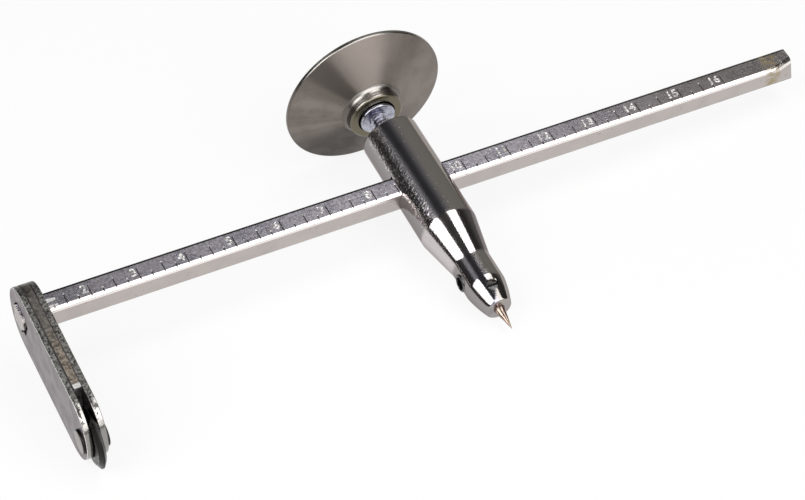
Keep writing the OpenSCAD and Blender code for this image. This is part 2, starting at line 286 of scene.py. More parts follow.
class FinishColours(bpy.types.PropertyGroup):
    """Colours of the finishes"""

    plating: colour("Plating", (0.375, 0.352, 0.352), "Nickel plating of the body")
    beam: colour("Beam", (0.52, 0.482, 0.465), "Bright drawn steel of the beam")
    stain: colour("Stain", (0.36, 0.29, 0.17), "Brown stain on bare steel")
    # Near-white tone of a painted glint on the stamped walls, the dents, the outer plate's edge and the spacer's
    # lower end
    stamping: colour("Stamping", (0.95, 0.94, 0.92), "Bright walls of the stamped numbers")
    # Grime in the marks, and painted shade in the gaps
    dirt_and_shade: colour("Dirt", (0.030, 0.028, 0.027), "Dirt in the marks")
    arm: colour("Arm", (0.186, 0.155, 0.165), "Satin plating of the arm's faces")
    sheared: colour("Sheared edge", (0.255, 0.250, 0.235), "Sheared edges of the arm")
    spacer: colour("Spacer", (0.380, 0.325, 0.270), "Oiled steel of the spacer")
    rivet: colour("Rivet", (0.34, 0.32, 0.30), "Worn steel of the rivet")
    wheel: colour("Wheel", (0.022, 0.021, 0.020), "Hardened steel of the wheel")
    disc: colour("Disc", (0.215, 0.188, 0.170), "Satin turned steel of the palm disc")
    # Polished tone, laid only on one side of the collar and rim as a painted highlight
    polish_and_highlight: colour("Polish", (0.60, 0.575, 0.54), "Polished wall of the collar and rim of the disc")
    collar: colour("Collar", (0.200, 0.180, 0.115), "Dull face round the collar's mouth")
    zinc: colour("Zinc", (0.460, 0.460, 0.540), "Bright zinc of the nut, screw and washer")
    point: colour("Point", (0.600, 0.470, 0.385), "Ground steel of the point")
    oxide: colour("Oxide", (0.120, 0.118, 0.118), "Dark oxide of the point's screws")
    brass: colour("Brass", (0.72, 0.52, 0.22), "Brass of the shoe")


class StageSettings(bpy.types.PropertyGroup):
    """Camera, lamps and floor"""

    azimuth: degrees_of("Azimuth", -22.690, "Turn of the camera about the vertical")
    elevation: degrees_of("Elevation", 39.155, "Height of the camera as an angle")
    roll: degrees_of("Roll", -5.529, "Turn of the camera about its own line of sight")
    distance: length("Distance", 669.964, "Distance of the camera from the point that it looks at")
    aim: FloatVectorProperty(
        name="Aim", description="Point that the camera looks at", size=3, unit="LENGTH",
        default=(-9.280 * MM, -0.651 * MM, 0),
    )
    lens: number("Lens", 117.913, "Focal length in millimetres")
    lamp: number("Lamp level", 3.2, "Brightness of the two main softboxes, where 1 is white")
    fill: number("Fill level", 2.3, "Brightness of the softbox over the camera")
    ambient: number("Ambient level", 0.1, "Brightness of the room for matt surfaces")
    wall: number("Wall level", 0.05, "Brightness of the dark studio walls in reflections")
    panel: number("Panel level", 0.28, "Brightness that the lit parts of the walls add")
    floor: colour("Floor", (0.82, 0.82, 0.82), "Pale floor")
    glow: number("Floor glow", 0.86, "Share of the floor that is shown as plain white")


# Meshes

def turned(profile, steps, closed=False):
    """A solid turned about Z from (radius, height) points, from axis to axis or as a closed ring."""
    bm = bmesh.new()
    verts = [bm.verts.new((radius, 0, height)) for radius, height in profile]
    edges = [bm.edges.new(pair) for pair in zip(verts, verts[1:])]
    if closed:
        edges.append(bm.edges.new((verts[-1], verts[0])))
    bmesh.ops.spin(
        bm, geom=verts + edges, axis=(0, 0, 1), cent=(0, 0, 0), angle=2 * pi, steps=steps, use_merge=True
    )
    return tidied(bm)


def pin(radius, low, high, steps=SMALL_STEPS):
    """A plain turned pin between two heights."""
    return turned([(0, low), (radius, low), (radius, high), (0, high)], steps)


def tidied(bm):
    """Merges doubles, then turns the faces outwards."""
    bmesh.ops.remove_doubles(bm, verts=bm.verts, dist=MERGE)
    bmesh.ops.recalc_face_normals(bm, faces=bm.faces)
    return bm


def cleared(bm):
    """Clears what a cut can leave: faces back to back on the same corners, points on a straight edge."""
    shared = {}
    for face in bm.faces:
        shared.setdefault(frozenset(face.verts), []).append(face)
    stray = [face for faces in shared.values() if len(faces) > 1 for face in faces]
    bmesh.ops.delete(bm, geom=stray, context="FACES")
    straight = [
        vert for vert in bm.verts
        if len(vert.link_edges) == 2 and vert.calc_edge_angle(pi) < STRAIGHT
    ]
    bmesh.ops.dissolve_verts(bm, verts=straight)
    return bm


def bevelled(bm, edges, width, segments=3):
    """Rounds edges to that width."""
    bmesh.ops.bevel(
        bm, geom=edges, offset=width, offset_type="OFFSET", affect="EDGES",
        segments=segments, profile=0.5, material=-1, clamp_overlap=True,
    )
    return bm


def round_rings(bm, rings, width, segments=3):
    """Rounds the edge loops at those (radius, height) pairs."""
    near = 10 * MERGE

    def on_ring(edge, radius, height):
        return all(
            abs(vert.co.z - height) < near and abs(hypot(vert.co.x, vert.co.y) - radius) < near
            for vert in edge.verts
        )

    edges = [edge for edge in bm.edges if any(on_ring(edge, *ring) for ring in rings)]
    return bevelled(bm, edges, width, segments)


def arc_between(start, end, radius, steps):
    """Points of an arc from start to end that bulges to the right of the way, without its two ends."""
    start, end = Vector(start), Vector(end)
    chord = end - start
    inward = Vector((-chord.y, chord.x)).normalized()
    centre = (start + end) / 2 + inward * sqrt(radius ** 2 - chord.length_squared / 4)
    first = atan2(start.y - centre.y, start.x - centre.x)
    last = atan2(end.y - centre.y, end.x - centre.x)
    return arc(centre, radius, first, last, steps)[1:-1]


def arc(centre, radius, first, last, steps):
    """Points of an arc about a centre, between two angles."""
    turns = [first + (last - first) * step / steps for step in range(steps + 1)]
    return [(centre[0] + radius * cos(turn), centre[1] + radius * sin(turn)) for turn in turns]


def hexagon_corner(flats):
    """Radius of a hexagon's corners from its width across flats."""
    return flats / 2 / cos(radians(30))


def turn_to(way):
    """The turn that lays Z along a way."""
    return way.to_track_quat("Z", "Y").to_matrix().to_4x4()


def add_block(bm, low, high, turn=Matrix.Identity(4)):
    """Adds a block between two corners, turned about its middle, and returns its vertices."""
    low, high = Vector(low), Vector(high)
    place = Matrix.Translation((low + high) / 2) @ turn @ Matrix.Diagonal((*(high - low), 1))
    return bmesh.ops.create_cube(bm, size=1, matrix=place)["verts"]


def add_bar(bm, start, end, radius, end_radius=None, segments=SMALL_STEPS):
    """Adds a round bar or cone between two points."""
    start, end = Vector(start), Vector(end)
    way = end - start
    place = Matrix.Translation((start + end) / 2) @ turn_to(way)
    bmesh.ops.create_cone(
        bm, cap_ends=True, segments=segments, radius1=radius,
        radius2=radius if end_radius is None else end_radius, depth=way.length, matrix=place,
    )
    return bm


def block(low, high):
    """A bmesh of one block, for a cutter."""
    bm = bmesh.new()
    add_block(bm, low, high)
    return bm


def bar(start, end, radius, end_radius=None, segments=SMALL_STEPS):
    """A bmesh of one round bar, for a cutter."""
    return add_bar(bmesh.new(), start, end, radius, end_radius, segments)


def hull(*corners):
    """A bmesh of the closed solid round some corners, for a cutter."""
    bm = bmesh.new()
    for corner in corners:
        bm.verts.new(corner)
    bmesh.ops.convex_hull(bm, input=bm.verts)
    return tidied(bm)


def prism(outline, low_x, high_x):
    """A bmesh of a convex (Y, Z) outline drawn out along X, for a cutter."""
    return hull(*((x, y, z) for x in (low_x, high_x) for y, z in outline))


def in_slot(bm, index):
    """Gives every face of a cutter the slot of the finish that it leaves."""
    for face in bm.faces:
        face.material_index = index
    return bm


def cut_away(bm, point, outward):
    """Cuts off what lies past a plane, on the side that outward points to, and closes the cut."""
    cut = bmesh.ops.bisect_plane(
        bm, geom=bm.verts[:] + bm.edges[:] + bm.faces[:], dist=MERGE, plane_co=point, plane_no=outward,
        clear_outer=True,
    )
    rim = [item for item in cut["geom_cut"] if isinstance(item, bmesh.types.BMEdge)]
    bmesh.ops.contextual_create(bm, geom=rim)
    return tidied(bm)


def carved(bm, *cutters, operation="DIFFERENCE", finishes=(), crossing=False):
    """Cuts a bmesh with others in turn.

    Finishes keep each face's slot. Crossing is for cutters that cross themselves.
    """
    for cutter in cutters:
        pair = []
        for shape in (bm, cutter):
            mesh = bpy.data.meshes.new("carving")
            shape.to_mesh(mesh)
            shape.free()
            for material in finishes:
                mesh.materials.append(material)
            pair.append(bpy.data.objects.new("carving", mesh))
            bpy.context.scene.collection.objects.link(pair[-1])
        modifier = pair[0].modifiers.new("carving", "BOOLEAN")
        modifier.operation = operation
        modifier.solver = "EXACT"
        modifier.use_self = crossing
        modifier.object = pair[1]
        finished = pair[0].evaluated_get(bpy.context.evaluated_depsgraph_get())
        bm = bmesh.new()
        bm.from_mesh(finished.to_mesh())
        for carving in pair:
            bpy.data.meshes.remove(carving.data)
        if not bm.faces:
            raise RuntimeError("a cut left nothing of the piece")
    return bm


def slotted(bm, radius, top, width, depth):
    """Cuts a screwdriver's slot across the top of a screw that stands on Z."""
    reach = radius + OVER
    return carved(bm, block((-reach, -width / 2, top - depth), (reach, width / 2, top + OVER)))


def lie_along(bm, axis, origin):
    """Turns a bmesh that was made about Z so that Z lies along an axis, with its zero at a point."""
    place = Matrix.Translation(origin) @ turn_to(Vector(axis))
    bmesh.ops.transform(bm, matrix=place, verts=bm.verts)
    return bm


def place_piece(bm, name, node, materials, sharp=32, flat=False):
    """Sets a bmesh down in the frame as the piece that stands for a CAD node.

    Sharp is the turn in degrees over which an edge isn't smoothed. Flat keeps square faces flat.
    """
    cleared(tidied(bm))
    level = [max(abs(part) for part in face.normal) > 1 - MERGE for face in bm.faces]
    mesh = bpy.data.meshes.new(name)
    bm.to_mesh(mesh)
    bm.free()
    mesh.transform(TOOL @ Matrix.Scale(MM, 4))
    mesh.set_sharp_from_angle(angle=radians(sharp))
    for polygon, square in zip(mesh.polygons, level):
        polygon.use_smooth = not (flat and square)
    for material in materials:
        mesh.materials.append(material)
    piece = bpy.data.objects.new(name, mesh)
    bpy.context.scene.collection.objects.link(piece)
    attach(piece, BODY_OF[node])
    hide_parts(node)
    return piece


# Nodes

class Nodes:
    """A node tree, and the steps that its patterns are made of. An input is a value or a socket."""

    def __init__(self, tree):
        self.tree = tree

    def link(self, value, socket):
        """Links a value to a socket."""
        self.tree.links.new(value, socket)

    def add(self, kind, inputs=None, **settings):
        """Adds a node with its settings and inputs."""
        node = self.tree.nodes.new(kind)
        for key, value in settings.items():
            setattr(node, key, value)
        for key, value in (inputs or {}).items():
            if isinstance(value, bpy.types.NodeSocket):
                self.link(value, node.inputs[key])
            else:
                node.inputs[key].default_value = value
        return node

    def group(self, name, coordinates, **values):
        """Places a shared group, which is built when it is first used, and returns its outputs."""
        tree = bpy.data.node_groups.get(name) or SHARED_GROUPS[name]()
        return self.add("ShaderNodeGroup", {"Coordinates": coordinates, **values}, node_tree=tree).outputs

    def maths(self, operation, first, second=0.0):
        """One step of arithmetic on values."""
        return self.add("ShaderNodeMath", {0: first, 1: second}, operation=operation).outputs[0]

    def plus(self, first, second):
        """The sum of two values."""
        return self.maths("ADD", first, second)

    def minus(self, first, second):
        """The difference of two values."""
        return self.maths("SUBTRACT", first, second)

    def times(self, first, second):
        """The product of two values."""
        return self.maths("MULTIPLY", first, second)

    def over(self, first, second):
        """One value divided by another."""
        return self.maths("DIVIDE", first, second)

    def hypotenuse(self, first, second):
        """The length of two parts at right angles."""
        squares = self.plus(self.maths("POWER", first, 2.0), self.maths("POWER", second, 2.0))
        return self.maths("SQRT", squares)

    def vectors(self, operation, first, second):
        """One step of arithmetic on vectors."""
        return self.add("ShaderNodeVectorMath", {0: first, 1: second}, operation=operation).outputs[0]

    def split(self, vector):
        """The three parts of a vector."""
        return self.add("ShaderNodeSeparateXYZ", {0: vector}).outputs

    def joined(self, x=0.0, y=0.0, z=0.0):
        """A vector from three parts."""
        return self.add("ShaderNodeCombineXYZ", {0: x, 1: y, 2: z}).outputs[0]

    def ease(self, value, low, high, to_low=0.0, to_high=1.0):
        """A value eased from one range to another."""
        inputs = {"Value": value, "From Min": low, "From Max": high, "To Min": to_low, "To Max": to_high}
        node = self.add("ShaderNodeMapRange", inputs, interpolation_type="SMOOTHSTEP")
        return node.outputs["Result"]

    def spread(self, mask, low, high):
        """A mask spread between two values."""
        return self.ease(mask, 0.0, 1.0, low, high)

    def near_heading(self, x, y, heading, reach):
        """Share that rises from 0 at some degrees from a heading about the tool's Z axis to 1 on it."""
        turn = radians(heading)
        along = self.plus(self.times(x, cos(turn)), self.times(y, sin(turn)))
        facing = self.over(along, self.hypotenuse(x, y))
        return self.ease(facing, cos(radians(reach)), 1.0)

    def noise(self, vector, scale, detail=3.0, roughness=0.55):
        """Noise of about 1 / scale in size."""
        inputs = {"Vector": vector, "Scale": scale, "Detail": detail, "Roughness": roughness}
        return self.add("ShaderNodeTexNoise", inputs).outputs[0]

    def mix(self, share, first, second):
        """Two colours mixed by a share. A colour is a socket, or three numbers."""
        inputs = {0: share}
        for index, value in ((6, first), (7, second)):
            inputs[index] = value if isinstance(value, bpy.types.NodeSocket) else (*value, 1)
        return self.add("ShaderNodeMix", inputs, data_type="RGBA").outputs[2]

    def bump(self, height, depth, normal=None):
        """A normal from a height, with its depth in millimetres."""
        inputs = {"Height": height, "Distance": depth * MM, "Strength": 1.0}
        if normal is not None:
            inputs["Normal"] = normal
        return self.add("ShaderNodeBump", inputs).outputs["Normal"]


class Metal(Nodes):
    """A metal's material. Its colour is laid on in coats, over the tool's coordinates in millimetres."""

    def __init__(self, name, plain, metallic=1.0):
        self.material = bpy.data.materials.new(name)
        self.material.use_nodes = True
        super().__init__(self.material.node_tree)
        self.shader = self.tree.nodes["Principled BSDF"]
        self.shader.inputs["Metallic"].default_value = metallic
        self.plain = Vector(plain)
        self.base = None
        inputs = {
            "Vector": self.add("ShaderNodeTexCoord").outputs["Object"],
            "Location": TOOL.to_translation(), "Rotation": TOOL.to_euler(), "Scale": (MM, MM, MM),
        }
        self.spot = self.add("ShaderNodeMapping", inputs, vector_type="TEXTURE").outputs[0]

    def grain(self, *stretch):
        """Lines drawn out by so many millimetres along each axis."""
        return self.group("Drawn grain", self.spot, Stretch=stretch)

    def mottle(self, size):
        """Blotches and pits of a size in millimetres."""
        return self.group("Mottle", self.spot, Size=size)

    def rings(self, width, spot=None):
        """Turned rings of a width in millimetres."""
        return self.group("Turned rings", self.spot if spot is None else spot, Width=width)

    def tone(self, factor):
        """The metal's own colour, made darker or lighter."""
        return shade(self.plain, factor)

    def vary(self, share, dark, light):
        """Lays the first coat, between two tones of the metal's own colour."""
        self.base = self.mix(share, self.tone(dark), self.tone(light))

    def coat(self, share, colour):
        """Lays a colour over the base by a share. One number stands for a tone of the metal's own."""
        self.base = self.mix(share, self.base, self.tone(colour) if isinstance(colour, float) else colour)

    def finished(self, roughness, normal=None):
        """Links what changes over the surface to the shader, and returns the material."""
        for socket, value in (("Base Color", self.base), ("Roughness", roughness), ("Normal", normal)):
            if value is not None:
                self.link(value, self.shader.inputs[socket])
        return self.material


def shade(plain, factor):
    """A colour made darker or lighter."""
    return [min(1.0, part * factor) for part in plain]


def new_group(name, own_input, kind, outputs):
    """An empty shader group, with what its two inputs give and the sockets of its outputs."""
    tree = bpy.data.node_groups.new(name, "ShaderNodeTree")
    for label, socket in (("Coordinates", "NodeSocketVector"), (own_input, kind)):
        tree.interface.new_socket(label, in_out="INPUT", socket_type=socket)
    for label in outputs:
        tree.interface.new_socket(label, in_out="OUTPUT", socket_type="NodeSocketFloat")
    given = tree.nodes.new("NodeGroupInput").outputs
    return Nodes(tree), given["Coordinates"], given[own_input], tree.nodes.new("NodeGroupOutput").inputs


def grain_group():
    """Lines drawn out along one axis, and the few deep scratches among them."""
    nodes, spot, stretch, out = new_group(
        "Drawn grain", "Stretch", "NodeSocketVector", ("Lines", "Scratches")
    )
    drawn = nodes.vectors("DIVIDE", spot, stretch)
    nodes.link(nodes.noise(drawn, 1.0, 4.0, 0.6), out["Lines"])
    # The offset keeps the scratches apart from the lines
    offset = nodes.vectors("ADD", drawn, (7.3, 3.1, 5.7))
    nodes.link(nodes.ease(nodes.noise(offset, 0.6, 1.0), 0.66, 0.72), out["Scratches"])
    return nodes.tree


def mottle_group():
    """Soft blotches of one size, and small pits."""
    nodes, spot, size, out = new_group("Mottle", "Size", "NodeSocketFloat", ("Blotches", "Pits"))
    scale = nodes.over(1.0, size)
    nodes.link(nodes.ease(nodes.noise(spot, scale, 4.0, 0.6), 0.34, 0.66), out["Blotches"])
    inputs = {"Vector": spot, "Scale": nodes.times(scale, 2.2)}
    cells = nodes.add("ShaderNodeTexVoronoi", inputs).outputs["Distance"]
    nodes.link(nodes.ease(cells, 0.16, 0.05), out["Pits"])
    return nodes.tree


def rings_group():
    """Rings left by a turning tool about the Z axis, and faint streaks across them."""
    nodes, spot, width, out = new_group("Turned rings", "Width", "NodeSocketFloat", ("Rings", "Streaks"))
    x, y, z = nodes.split(spot)
    radius = nodes.hypotenuse(x, y)
    across = nodes.over(nodes.plus(radius, z), width)
    nodes.link(nodes.noise(nodes.joined(across), 1.0), out["Rings"])
    unit = nodes.joined(nodes.over(x, radius), nodes.over(y, radius))
    nodes.link(nodes.noise(unit, 3.5, 4.0, 0.65), out["Streaks"])
    return nodes.tree


SHARED_GROUPS = {"Drawn grain": grain_group, "Mottle": mottle_group, "Turned rings": rings_group}


# Finishes

def plated_finish(colours, size):
    """Nickel plating with a fine orange peel, pitted on the arm's side, with painted reflections: tinted by side
    round the body, and painted brightest on the taper, darker on one side of it.
    """
    nickel = Metal("nickel_plating", colours.plating)
    nickel.shader.inputs["Specular Tint"].default_value = (*nickel.tone(1.6), 1)
    mottle = nickel.mottle(3.0)
    x, y, z = nickel.split(nickel.spot)
    nickel.vary(mottle["Blotches"], 0.94, 1.05)
    # Painted reflection tinting round the body: heading, reach to each side in degrees, and tint
    reflection_tints = (
        (-110, 35, (1.08, 1.12, 1.24)), (-65, 40, (1.02, 1.02, 0.93)), (-178, 40, (0.84, 0.84, 0.84)),
    )
    for heading, reach, tint in reflection_tints:
        nickel.coat(nickel.near_heading(x, y, heading, reach), nickel.plain * Vector(tint))
    # Painted reflection: the taper is painted brighter, and darker on its side at heading -50
    taper = nickel.times(
        nickel.ease(z, size.taper_bottom - 1.3, size.taper_bottom + 0.7),
        nickel.ease(z, size.taper_top + 1.1, size.taper_top - 0.4),
    )
    nickel.coat(taper, 1.6)
    nickel.coat(nickel.times(nickel.near_heading(x, y, -50, 45), taper), 0.6)
    above = nickel.ease(z, size.taper_top - 3.9, size.taper_top + 4.1)
    pitted = nickel.times(nickel.near_heading(x, y, -138, 24), above)
    pitting = nickel.noise(nickel.spot, 1.35, 3.0, 0.65)
    nickel.coat(nickel.times(nickel.ease(pitting, 0.48, 0.62), pitted), 2.7)
    nickel.coat(nickel.times(mottle["Pits"], 0.5), 0.55)
    specks = nickel.times(nickel.mottle(2.0)["Pits"], nickel.near_heading(x, y, -92, 8))
    peel = nickel.bump(nickel.noise(nickel.spot, 2.4, 2.0), 0.010)
    pits = nickel.bump(nickel.times(pitting, pitted), 0.11, peel)
    roughness = nickel.spread(mottle["Blotches"], 0.08, 0.13)
    return nickel.finished(roughness, nickel.bump(specks, 0.10, pits))


def beam_finish(colours, size):
    """Bright drawn steel, speckled on the scale and stained near the free end, with painted light: a lighter,
    bluer scale face that darkens towards the free end, a painted highlight on the lower edge, which wear has also
    made smoother, and a painted dark reflection along the upper edge.
    """
    steel = Metal("drawn_steel", colours.beam)
    grain = steel.grain(14.0, 0.12, 0.12)
    broad, spots, fine = steel.mottle(5.0), steel.mottle(1.6), steel.mottle(0.8)
    x, y, z = steel.split(steel.spot)
    end = BEAM_HIGH.x
    # Masks: the scale's face, its lower edge up to the filed end with wear and a painted highlight, its upper edge
    # with a painted dark reflection, the stain
    on_scale = steel.ease(y, BEAM_LOW.y + 0.06, BEAM_LOW.y + 0.02)
    into = steel.minus(y, BEAM_LOW.y)
    past_start = steel.maths("MAXIMUM", steel.minus(x, end - size.filed), 0.0)
    lower = steel.plus(into, steel.minus(z, BEAM_LOW.z))
    lower = steel.minus(lower, steel.times(past_start, 0.25))
    upper = steel.plus(into, steel.minus(BEAM_HIGH.z, z))
    wear_and_highlight = steel.ease(lower, size.edge, size.edge - 0.1)
    dark_reflection = steel.ease(upper, size.edge + 0.1, size.edge - 0.05)
    stained = steel.times(steel.ease(x, end - 9, end - 7.5), steel.ease(x, end - 3, end - 5))
    # Coats, from the bare steel up
    # Painted light: the scale face is painted lighter and bluer than the other faces
    warm, cool = Vector((1.01, 0.99, 0.97)), Vector((1.42, 1.47, 1.84))
    steel.base = steel.mix(on_scale, steel.plain * warm, steel.plain * cool)
    steel.coat(steel.times(broad["Blotches"], 0.35), 0.85)
    speckles = steel.times(fine["Blotches"], on_scale)
    steel.coat(steel.times(speckles, 0.65), 0.35)
    # Painted shade: the scale face darkens towards the free end
    steel.coat(steel.times(steel.ease(x, 0, 90, 0.0, 0.95), on_scale), 0.3)
    steel.coat(steel.times(grain["Lines"], 0.4), 0.75)
    # Painted highlight along the lower edge, and painted dark reflection along the upper edge
    steel.coat(wear_and_highlight, 1.75)
    steel.coat(dark_reflection, 0.12)
    steel.coat(steel.times(spots["Blotches"], stained), colours.stain)
    steel.coat(steel.times(broad["Pits"], 0.4), 0.4)
    roughness = steel.spread(broad["Blotches"], 0.24, 0.31)
    roughness = steel.minus(roughness, steel.times(wear_and_highlight, 0.14))
    # Drawn lines, with the staked end hammered and the free end a little
    staked = steel.ease(x, OUTER_LOW.x + 0.6, OUTER_LOW.x)
    hammered = steel.plus(staked, steel.ease(x, end - 4, end - 3, 0.0, 0.12))
    drawn = steel.bump(steel.plus(grain["Lines"], grain["Scratches"]), 0.006)
    drawn = steel.bump(speckles, 0.008, drawn)
    return steel.finished(roughness, steel.bump(steel.times(spots["Blotches"], hammered), 0.25, drawn))


def glint_finish(colours, name="stamped_walls_glint", least=0.32):
    """Painted glint: near-white, half-metal walls of a stamped number, dents or an edge with wear, which dulls in
    spots to its least tone.
    """
    bright = Metal(name, colours.stamping, metallic=0.3)
    blotches = bright.mottle(0.5)["Blotches"]
    bright.vary(bright.ease(blotches, 0.25, 0.75), least, 0.92)
    return bright.finished(bright.spread(blotches, 0.25, 0.4))


def dirt_and_shade_finish(colours):
    """Old grime in the marks, painted shade in the beam's broken corner and in the open corner of the plate's
    hole, and a dark line on the plates' seam.
    """
    dirt_and_shade = Metal("mark_dirt_and_shade", colours.dirt_and_shade, metallic=0.3)
    blotches = dirt_and_shade.mottle(0.6)["Blotches"]
    dirt_and_shade.vary(blotches, 1.0, 2.5)
    return dirt_and_shade.finished(dirt_and_shade.spread(blotches, 0.45, 0.7))


def arm_finish(colours):
    """Satin plating with lines along the arm and patches of rubbing."""
    satin = Metal("satin_plate", colours.arm)
    grain, blotches = satin.grain(0.15, 0.15, 9.0), satin.mottle(4.0)["Blotches"]
    satin.vary(blotches, 0.86, 1.08)
    satin.coat(satin.times(grain["Scratches"], 0.5), 1.5)
    return satin.finished(satin.spread(blotches, 0.30, 0.42), satin.bump(grain["Lines"], 0.006))


def sheared_finish(colours):
    """Sheared edge of a plate, torn and flecked, smooth at its top; beside the wheel it is smoothed by rubbing,
    with painted reflections in bright and dark patches and a lighter rounded end.
    """
    edge = Metal("sheared_edge", colours.sheared)
    tear = edge.grain(1.4, 0.5, 0.28)["Lines"]
    blotches, flecks = edge.mottle(0.55)["Blotches"], edge.mottle(1.3)
    _, _, z = edge.split(edge.spot)
    edge.vary(blotches, 0.3, 1.35)
    edge.coat(flecks["Pits"], 3.8)
    edge.coat(edge.ease(z, OUTER_HIGH.z - 5, OUTER_HIGH.z - 1.5), 1.1)
    # Painted reflections beside the wheel: bright and dark patches, lighter on the rounded end
    rubbed_and_reflection = edge.ease(flecks["Blotches"], 0.25, 0.4)
    rubbed_and_reflection = edge.mix(rubbed_and_reflection, shade(colours.arm, 0.25), edge.tone(1.9))
    rounded = edge.ease(z, WHEEL_CENTRE.z + 0.5, WHEEL_CENTRE.z - 1.5)
    rubbed_and_reflection = edge.mix(rounded, rubbed_and_reflection, edge.tone(1.2))
    torn = edge.ease(z, WHEEL_CENTRE.z, WHEEL_HIGH.z)
    edge.base = edge.mix(torn, rubbed_and_reflection, edge.base)
    roughness = edge.plus(edge.times(edge.spread(blotches, 0.16, 0.32), torn), 0.14)
    height = edge.times(edge.plus(tear, blotches), edge.spread(torn, 0.25, 1.0))
    return edge.finished(roughness, edge.bump(height, 0.03))


def spacer_finish(colours):
    """Oiled brown steel of the spacer's edge, darker upwards, with a painted highlight at the lower end."""
    steel = Metal("oiled_steel", colours.spacer)
    tear, blotches = steel.grain(1.2, 0.5, 0.35)["Lines"], steel.mottle(1.0)["Blotches"]
    _, _, z = steel.split(steel.spot)
    low = SPACER_LOW.z
    steel.vary(blotches, 0.4, 1.5)
    steel.coat(steel.times(tear, 0.5), 0.4)
    steel.coat(steel.ease(z, low + 8, low + 24, 0.0, 0.75), shade(colours.sheared, 0.7))
    # Painted highlight at the lower end
    steel.coat(steel.ease(z, low + 1.6, low + 1.0), colours.stamping)
    return steel.finished(steel.spread(blotches, 0.32, 0.5), steel.bump(tear, 0.04))


def rivet_finish(colours):
    """Hammered steel of the rivet with signs of wear, darker round the rim of its head."""
    steel = Metal("hammered_steel", colours.rivet)
    dents = steel.mottle(1.6)["Blotches"]
    _, y, z = steel.split(steel.spot)
    reach = steel.hypotenuse(y, steel.minus(z, WHEEL_CENTRE.z))
    steel.vary(dents, 0.8, 1.1)
    # Darker towards the rim of the head
    steel.coat(steel.ease(reach, AXLE_HIGH.y - 0.35, AXLE_HIGH.y - 0.1), colours.dirt_and_shade)
    return steel.finished(steel.spread(dents, 0.28, 0.42), steel.bump(dents, 0.03))


def wheel_finish(colours):
    """Dark hardened steel, ground round the wheel's own axis."""
    steel = Metal("hardened_steel", colours.wheel)
    x, y, z = steel.split(steel.vectors("SUBTRACT", steel.spot, WHEEL_CENTRE))
    rings = steel.rings(0.09, steel.joined(y, z, x))["Rings"]
    steel.vary(rings, 0.7, 1.4)
    roughness = steel.spread(steel.mottle(1.0)["Blotches"], 0.26, 0.4)
    return steel.finished(roughness, steel.bump(rings, 0.008))


def disc_finish(colours):
    """Satin turned steel: its fine rings draw each highlight out into a streak across them, and streaks and wedges
    about the axis are painted lighter and darker as reflections.
    """
    steel = Metal("turned_steel", colours.disc)
    steel.shader.inputs["Anisotropic"].default_value = 0.9
    tangent = steel.add("ShaderNodeTangent", direction_type="UV_MAP", uv_map="turning").outputs[0]
    steel.link(tangent, steel.shader.inputs["Tangent"])
    rings, mottle = steel.rings(0.14), steel.mottle(6.0)
    x, y, _ = steel.split(steel.spot)
    # Painted reflection streaks: the tone varies with the angle about the axis
    steel.vary(steel.ease(rings["Streaks"], 0.36, 0.64), 0.88, 1.12)
    # Painted reflection, in wedges about the axis: heading, reach to each side in degrees, and tone
    reflection_sectors = ((120, 48, 0.35), (205, 18, 1.35), (270, 46, 1.45), (229, 14, 0.5), (0, 50, 1.2))
    for heading, reach, tone in reflection_sectors:
        steel.coat(steel.near_heading(x, y, heading, reach), tone)
    steel.coat(steel.times(rings["Rings"], 0.25), 1.4)
    steel.coat(steel.times(mottle["Pits"], 0.25), 0.4)
    return steel.finished(steel.spread(mottle["Blotches"], 0.42, 0.52), steel.bump(rings["Rings"], 0.006))


def collar_finish(colours):
    """Turned steel of the collar and the rim, with a painted highlight in a polished tone on one side, dull and
    olive round the mouth.
    """
    steel = Metal("polished_collar", colours.disc)
    rings = steel.rings(0.35)["Rings"]
    x, y, z = steel.split(steel.spot)
    # Painted highlight: the polished tone on the side at heading -105, a darker disc tone elsewhere
    wall = steel.mix(steel.near_heading(x, y, -105, 50), steel.tone(0.85), colours.polish_and_highlight)
    steel.base = steel.mix(steel.ease(z, DISC_LOW.z + 0.2, DISC_LOW.z + 0.6), colours.collar, wall)
    steel.coat(steel.times(rings, 0.8), 0.5)
    return steel.finished(steel.ease(rings, 0.3, 0.7, 0.18, 0.32), steel.bump(rings, 0.05))


def zinc_finish(colours):
    """Bright zinc with a faint bloom."""
    zinc = Metal("bright_zinc", colours.zinc)
    blotches = zinc.mottle(1.5)["Blotches"]
    zinc.vary(blotches, 0.6, 1.2)
    bloom = zinc.bump(zinc.noise(zinc.spot, 5.0), 0.006)
    return zinc.finished(zinc.spread(blotches, 0.16, 0.3), bloom)


def point_finish(colours):
    """Ground steel of the point, heat-tinted and drawn along its length."""
    steel = Metal("ground_point", colours.point)
    lines = steel.grain(0.25, 0.25, 3.0)["Lines"]
    steel.vary(steel.ease(lines, 0.36, 0.66), 0.16, 1.15)
    return steel.finished(steel.ease(lines, 0.3, 0.7, 0.16, 0.3), steel.bump(lines, 0.02))


def oxide_finish(colours):
    """Dark oxide of the point's screws."""
    oxide = Metal("dark_oxide", colours.oxide)
    blotches = oxide.mottle(0.8)["Blotches"]
    oxide.vary(blotches, 0.6, 1.4)
    pores = oxide.bump(oxide.noise(oxide.spot, 6.0), 0.008)
    return oxide.finished(oxide.spread(blotches, 0.24, 0.42), pores)


def brass_finish(colours):
    """Turned brass of the shoe."""
    brass = Metal("turned_brass", colours.brass)
    rings = brass.rings(0.12)["Rings"]
    brass.vary(rings, 0.8, 1.15)
    return brass.finished(brass.ease(rings, 0.3, 0.7, 0.22, 0.36), brass.bump(rings, 0.01))


# Operators, one for each piece or group of like pieces

